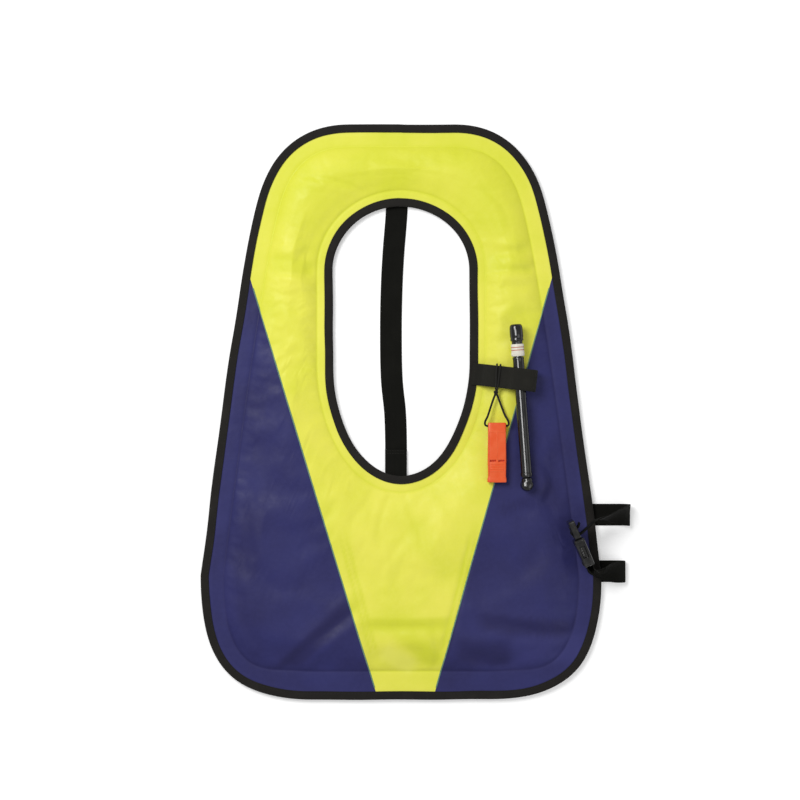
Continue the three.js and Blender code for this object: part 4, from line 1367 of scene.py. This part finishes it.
def make_elbow():
    """Inlet elbow: a domed foot on the sheet that turns into a collar round the spigot."""
    seat = CROWN + GAP - HOSE_BASE.z
    foot = turned("elbow_foot", [(0, -0.2), (7.5, 0), (7.6, 0.6), (7.4, 1.6), (7.0, 2.6), (6.8, 4), (6.7, 8),
                                 (6.6, 12), (6.0, 14), (4.6, 15.2), (2.4, 15.75), (0, 15.9)], 56)
    foot.data.transform(Matrix.Rotation(math.pi / 2, 4, "X"))
    foot.data.transform(Matrix.Translation((0, 0, seat * MM)))
    profile = [
        (0, -2), (5.6, -2), (6.1, 0), (6.2, 4), (6.15, 6.8), (5.7, 7.8), (3.4, 8.2), (3.2, 8.4), (3.2, 12.6),
        (2.8, 13), (0, 13),
    ]
    collar = turned("elbow_collar", profile, 56)
    both = join("elbow", [foot, collar])
    remesh = both.modifiers.new("skin", "REMESH")
    remesh.mode = "VOXEL"
    remesh.voxel_size = 0.32 * MM
    smooth = both.modifiers.new("smooth", "SMOOTH")
    smooth.factor = 0.5
    smooth.iterations = 14
    apply_modifiers(both)
    both.data.shade_smooth()
    on_hose(both, RUBBER, "black_rubber", "chest", "inlet_elbow")


def make_ring():
    """Lock ring: pale sleeve with fine grip ribs, and a plain coloured mark."""
    profile = [
        (5.7, 147.2), (6.0, 146.8), (6.9, 146.8), (7.35, 147.4), (7.4, 148.2), (7.4, 159.4), (7.3, 160.2),
        (6.9, 160.6), (6.5, 160.4), (6.5, 153.2), (5.7, 152.8), (5.7, 147.2),
    ]
    ring = turned("ring_sleeve", profile, 120)
    auto_smooth(ring, 50)
    on_hose(ring, PALE, "pale_ring", "lock_ring", "lock_ring")
    ribs = []
    for i in range(40):
        a = 2 * math.pi * i / 40
        rib = rounded_box(f"rib_{i}", (7.22, 148.2, -0.24), (7.55, 151.2, 0.24), 0.12, 2)
        rib.data.transform(Matrix.Rotation(a, 4, "Y"))
        ribs.append(rib)
    on_hose(join("ring_ribs", ribs), PALE, "pale_ring", "lock_ring")
    for i, y in enumerate((153.2, 156.4)):
        mark = turned(f"ring_mark_{i}", [(7.36, y), (7.46, y + 0.1), (7.46, y + 0.9), (7.36, y + 1.0)], 120)
        on_hose(mark, MARK, "pale_ring", "lock_ring")


def make_mouthpiece():
    profile = [
        (2.8, 163), (2.8, 161.5), (5.7, 161.5), (5.7, 157.2), (5.9, 157), (6.2, 157.2), (6.2, 163.4),
        (6.5, 164.1), (7.3, 164.5), (7.55, 165.1), (7.55, 166.1), (7.2, 166.7), (7.2, 168), (7.55, 168.6),
        (7.6, 172), (7.6, 176), (7.5, 178.6), (7.2, 180.8), (6.5, 182.3), (5.5, 183.1), (4.4, 183.3),
        (3.4, 183.2), (2.9, 182.6), (2.8, 181.6), (2.8, 163),
    ]
    bulb = turned("mouthpiece_bulb", profile, 96)
    auto_smooth(bulb, 55)
    on_hose(bulb, RUBBER, "black_rubber", "mouthpiece", "mouthpiece")


def make_spring():
    """Valve spring of five even turns at its full length; in the valve it shortens as the mouthpiece is
    pressed.
    """
    turns, low, high = 5, 149.9, 161.1
    t = np.linspace(0, 1, turns * 40 + 1)
    angle = 2 * math.pi * turns * t
    line = np.stack([3.2 * np.cos(angle), low + (high - low) * t, 3.2 * np.sin(angle)], 1)
    coil = tube("coil_spring", line, 0.3, 8)
    on_hose(coil, STEEL, "spring_steel", "hose", "valve_spring")
    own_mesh(coil)


make_hose()
make_spring()
make_elbow()
make_ring()
make_mouthpiece()

# ---- elastic keeper


def make_keeper():
    """One length of elastic: sewn on the neck binding, round the hose and back onto itself."""
    route = [
        (-6.4, 9.45), (-2, 9.5), (2.2, 9.7), (5.8, 11.8), (9.4, 17.2), (13.5, 19.6), (17.9, 21.2),
        (24.8, 22.4), (28.6, 21.5), (32.5, 19.3), (40, 19.2), (50, 19.2), (58.2, 19.2),
    ]
    centre, radius = (58.2, 28), 8.8
    for degrees in range(-70, 91, 20):
        a = math.radians(degrees)
        route.append((centre[0] + radius * math.cos(a), centre[1] + radius * math.sin(a)))
    route += [(50, 36.8), (44, 36.7), (39.6, 35.6), (36.6, 32), (33, 27.4), (29.4, 24.9), (25.6, 23.9),
              (17.9, 22.5), (13, 21.0), (8.6, 18.7), (5.4, 13.6), (2, 11.1), (-2, 10.75), (-6.4, 10.7)]
    stops = placed([(x, 0, z, 0, 1, 0) for x, z in route], KEEPER, KEEPER_TILT)
    keeper = band("keeper_elastic", stops, ELASTIC_LOOK, "elastic", width=25, thickness=1.15, steps=320)
    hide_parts("keeper_foot", "keeper_loop")
    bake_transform(keeper)
    for tag, body, x, z, rise in (("foot", "chest", -3.6, 11.3, 0.0), ("join", "keeper", 26.6, 24.75, 0.16)):
        ends = placed([(x, -11.4, z, -rise, 0, 1), (x, 11.4, z, -rise, 0, 1)], KEEPER, KEEPER_TILT)
        row = np.linspace(*ends, 14)
        sew(f"keeper_stitches_{tag}", row[:, :3], row[:, 3:], body, "elastic",
            length=2.2, gap=0.7, radius=0.28, lift=0.05)


make_keeper()

# ---- lanyard and whistle

CORD_RADIUS = CORD_DIAMETER / 2
HOLE_Y = WHISTLE.y + 30.2


def lanyard_route():
    """From the knot down one side, through the whistle's hole and back up to the knot."""
    down = [(-0.5, -0.8, 0), (-3.6, -9, 0), (-6.6, -18, 0.2), (-9.6, -27, 0.9)]
    back = [(10.4, -26, 0.9), (6.8, -17, 0.2), (3.8, -9, 0), (0.7, -0.8, 0)]
    through = [
        (95.8, 4.6, -0.6), (96, 1.2, 0), (98.4, 0, 0), (104, 0, 0), (115, 0, 0), (120.4, 0, 0),
        (122.6, 1.6, 0), (122, 6, -0.4),
    ]
    hole = Vector((0, HOLE_Y, WHISTLE.z))
    runs = (KNOT, down), (hole, through), (KNOT, back)
    return [origin + Vector(p) for origin, run in runs for p in run]


def make_whistle():
    """Flat moulded whistle: two voices side by side, ribs below the slots, flared lip."""
    stations = [
        (34, 9.6, 4.4), (33.4, 10.1, 4.8), (32.4, 10.3, 5), (18, 10.3, 5), (4, 10.5, 5), (-8, 10.7, 5),
        (-20, 10.4, 4.9), (-26, 10.3, 4.8), (-28.4, 10.4, 4.7), (-30, 10.85, 4.9), (-33, 10.9, 4.9),
        (-33.7, 10.7, 4.75), (-34, 10.3, 4.4),
    ]
    around = 64
    vertices = []
    for y, half, thick in stations:
        for k in range(around):
            a = 2 * math.pi * k / around
            c, s = math.cos(a), math.sin(a)
            x = half * math.copysign(abs(c) ** (2 / 7), c)
            z = thick * math.copysign(abs(s) ** (2 / 7), s)
            vertices.append((x, y, z))
    faces = outward(lattice(len(stations), around)) + end_caps(len(stations), around)
    body = new_object("whistle_body", vertices, faces)
    mend(body)
    mouth, windway = ((1.2, -10.6, 1.2), (8.4, -8.2, 8), 0.4), ((1.0, -40, -2.4), (8.2, -12, 2.2), 0.6)
    for low, high, bevel in (mouth, windway):
        cut(body, rounded_box("cutter", (-high[0], *low[1:]), (-low[0], *high[1:]), bevel))
        cut(body, rounded_box("cutter", low, high, bevel))
    drill = turned("drill", [(0, -20), (1.9, -20), (1.9, 20), (0, 20)], 32)
    drill.data.transform(Matrix.Rotation(math.pi / 2, 4, "Z"))
    place(drill, (0, 30.2, 0))
    cut(body, drill)
    soften(body, 0.28, 2, 50)
    apply_modifiers(body)
    parts = [body]
    for i, y in enumerate((-13.4, -16.2, -19.0, -21.8)):
        parts.append(rounded_box(f"rib_{i}", (-7.6, y, 4.6), (7.6, y + 1.1, 5.3), 0.3))
    parts.append(rounded_box("spine", (-0.55, -7.4, 4.6), (0.55, 24, 5.25), 0.3))
    for side in (-1, 1):
        x0, x1 = sorted((side * 8.9, side * 9.7))
        parts.append(rounded_box("rail", (x0, -26, 4.5), (x1, 24, 5.3), 0.3))
    parts.append(rounded_box("brow", (-9.7, 23.2, 4.5), (9.7, 24.2, 5.3), 0.3))
    whistle = join("whistle_shell", parts)
    auto_smooth(whistle, 40)
    dress(place(whistle, WHISTLE), ORANGE, "whistle_orange", "whistle", "whistle")


def make_lanyard():
    line = catmull_rom(lanyard_route(), 120)
    cord = tube("lanyard_braid", line, CORD_RADIUS, 16)
    dress(cord, CORD_LOOK, "lanyard_cord", "lanyard", "lanyard_cord")


def make_knot():
    """A small overhand knot, drawn tight."""
    angle = np.linspace(0, 2 * math.pi, 90)
    x = np.sin(angle) + 2 * np.sin(2 * angle)
    y = np.cos(angle) - 2 * np.cos(2 * angle)
    z = -np.sin(3 * angle)
    line = np.stack([x * 0.62, y * 0.72, z * 1.15], 1) + np.array(KNOT)
    knot = tube("lanyard_overhand", line, CORD_RADIUS * 0.92, 14)
    dress(knot, CORD_LOOK, "lanyard_cord", "knot", "lanyard_knot")


def make_hitch():
    """Two turns of the lanyard round the keeper, side by side, that run down to the knot."""
    edge, under = 12.5, 20.1
    turns = []
    for i, (x, top, over) in enumerate(((22.2, 20.6, 24.9), (24.4, 24.6, 25.2))):
        route = [
            (23.6 + 0.5 * (x - 23.2), -edge - 3.2, over - 3.0), (x, -edge - 0.9, over - 0.9),
            (x, -edge + 3, over), ((x + top) / 2, 0, over), (top, edge - 3, over),
            (top, edge + 0.9, over - 0.4), (top, edge + 1.5, over - 3), (top, edge + 0.5, under + 0.4),
            (top, edge - 3, under), (top, 0, under),
        ]
        stops = placed([(*p, 0, 0, 1) for p in route], KEEPER, KEEPER_TILT)
        line = catmull_rom([s[:3] for s in stops], 70)
        turns.append(tube(f"turn_{i}", line, CORD_RADIUS * 0.85, 14))
    dress(join("lanyard_turns", turns), CORD_LOOK, "lanyard_cord", "keeper", "lanyard_hitch")


make_whistle()
make_lanyard()
make_knot()
make_hitch()

# ---- floor and light


def make_stage():
    size, drop = 20000, -0.4
    corners = [(-size, -size, drop), (size, -size, drop), (size, size, drop), (-size, size, drop)]
    floor = new_object("floor", corners, [(0, 1, 2, 3)])
    look = Look("pale_floor", 0.9, specular=0.1)
    grain = look.noise(look.object_mm(), 400, 2.0)
    look.colour(look.mix(grain, (0.88, 0.88, 0.88), (0.90, 0.90, 0.90)))
    look.shader.inputs["Emission Color"].default_value = (1, 1, 1, 1)
    look.shader.inputs["Emission Strength"].default_value = 0.3
    paint(floor, look.material)


def area_light(name, at, aim, size, energy, length=None):
    """A round softbox, or a rectangular one of that length, aimed at a point."""
    data = bpy.data.lights.new(name, "AREA")
    data.shape = "RECTANGLE" if length else "DISK"
    data.size = size
    data.size_y = length or size
    data.energy = energy
    light = linked(name, data)
    light.location = at
    light.rotation_euler = (Vector(aim) - Vector(at)).to_track_quat("-Z", "Y").to_euler()
    return light


def make_light():
    world = bpy.data.worlds.new("studio")
    bpy.context.scene.world = world
    world.use_nodes = True
    world.node_tree.nodes["Background"].inputs["Color"].default_value = (1, 1, 1, 1)
    world.node_tree.nodes["Background"].inputs["Strength"].default_value = 0.40
    bpy.context.scene.view_settings.view_transform = "Standard"
    area_light("key", (-0.85, 0.8, 1.8), (0, 0, 0), 1.1, 31)
    area_light("fill", (1.2, -0.6, 1.6), (0, 0, 0), 1.4, 6)
    card = area_light("gloss_card", (-0.42, -0.06, 1.9), (0, -0.06, 0), 0.8, 20, length=0.75)
    glossy = bpy.data.collections.new("glossy_parts")
    for obj in bpy.data.objects:
        if obj.type == "MESH" and {RUBBER, PLASTIC} & set(obj.data.materials):
            glossy.objects.link(obj)
    card.light_linking.receiver_collection = glossy


make_stage()
make_light()
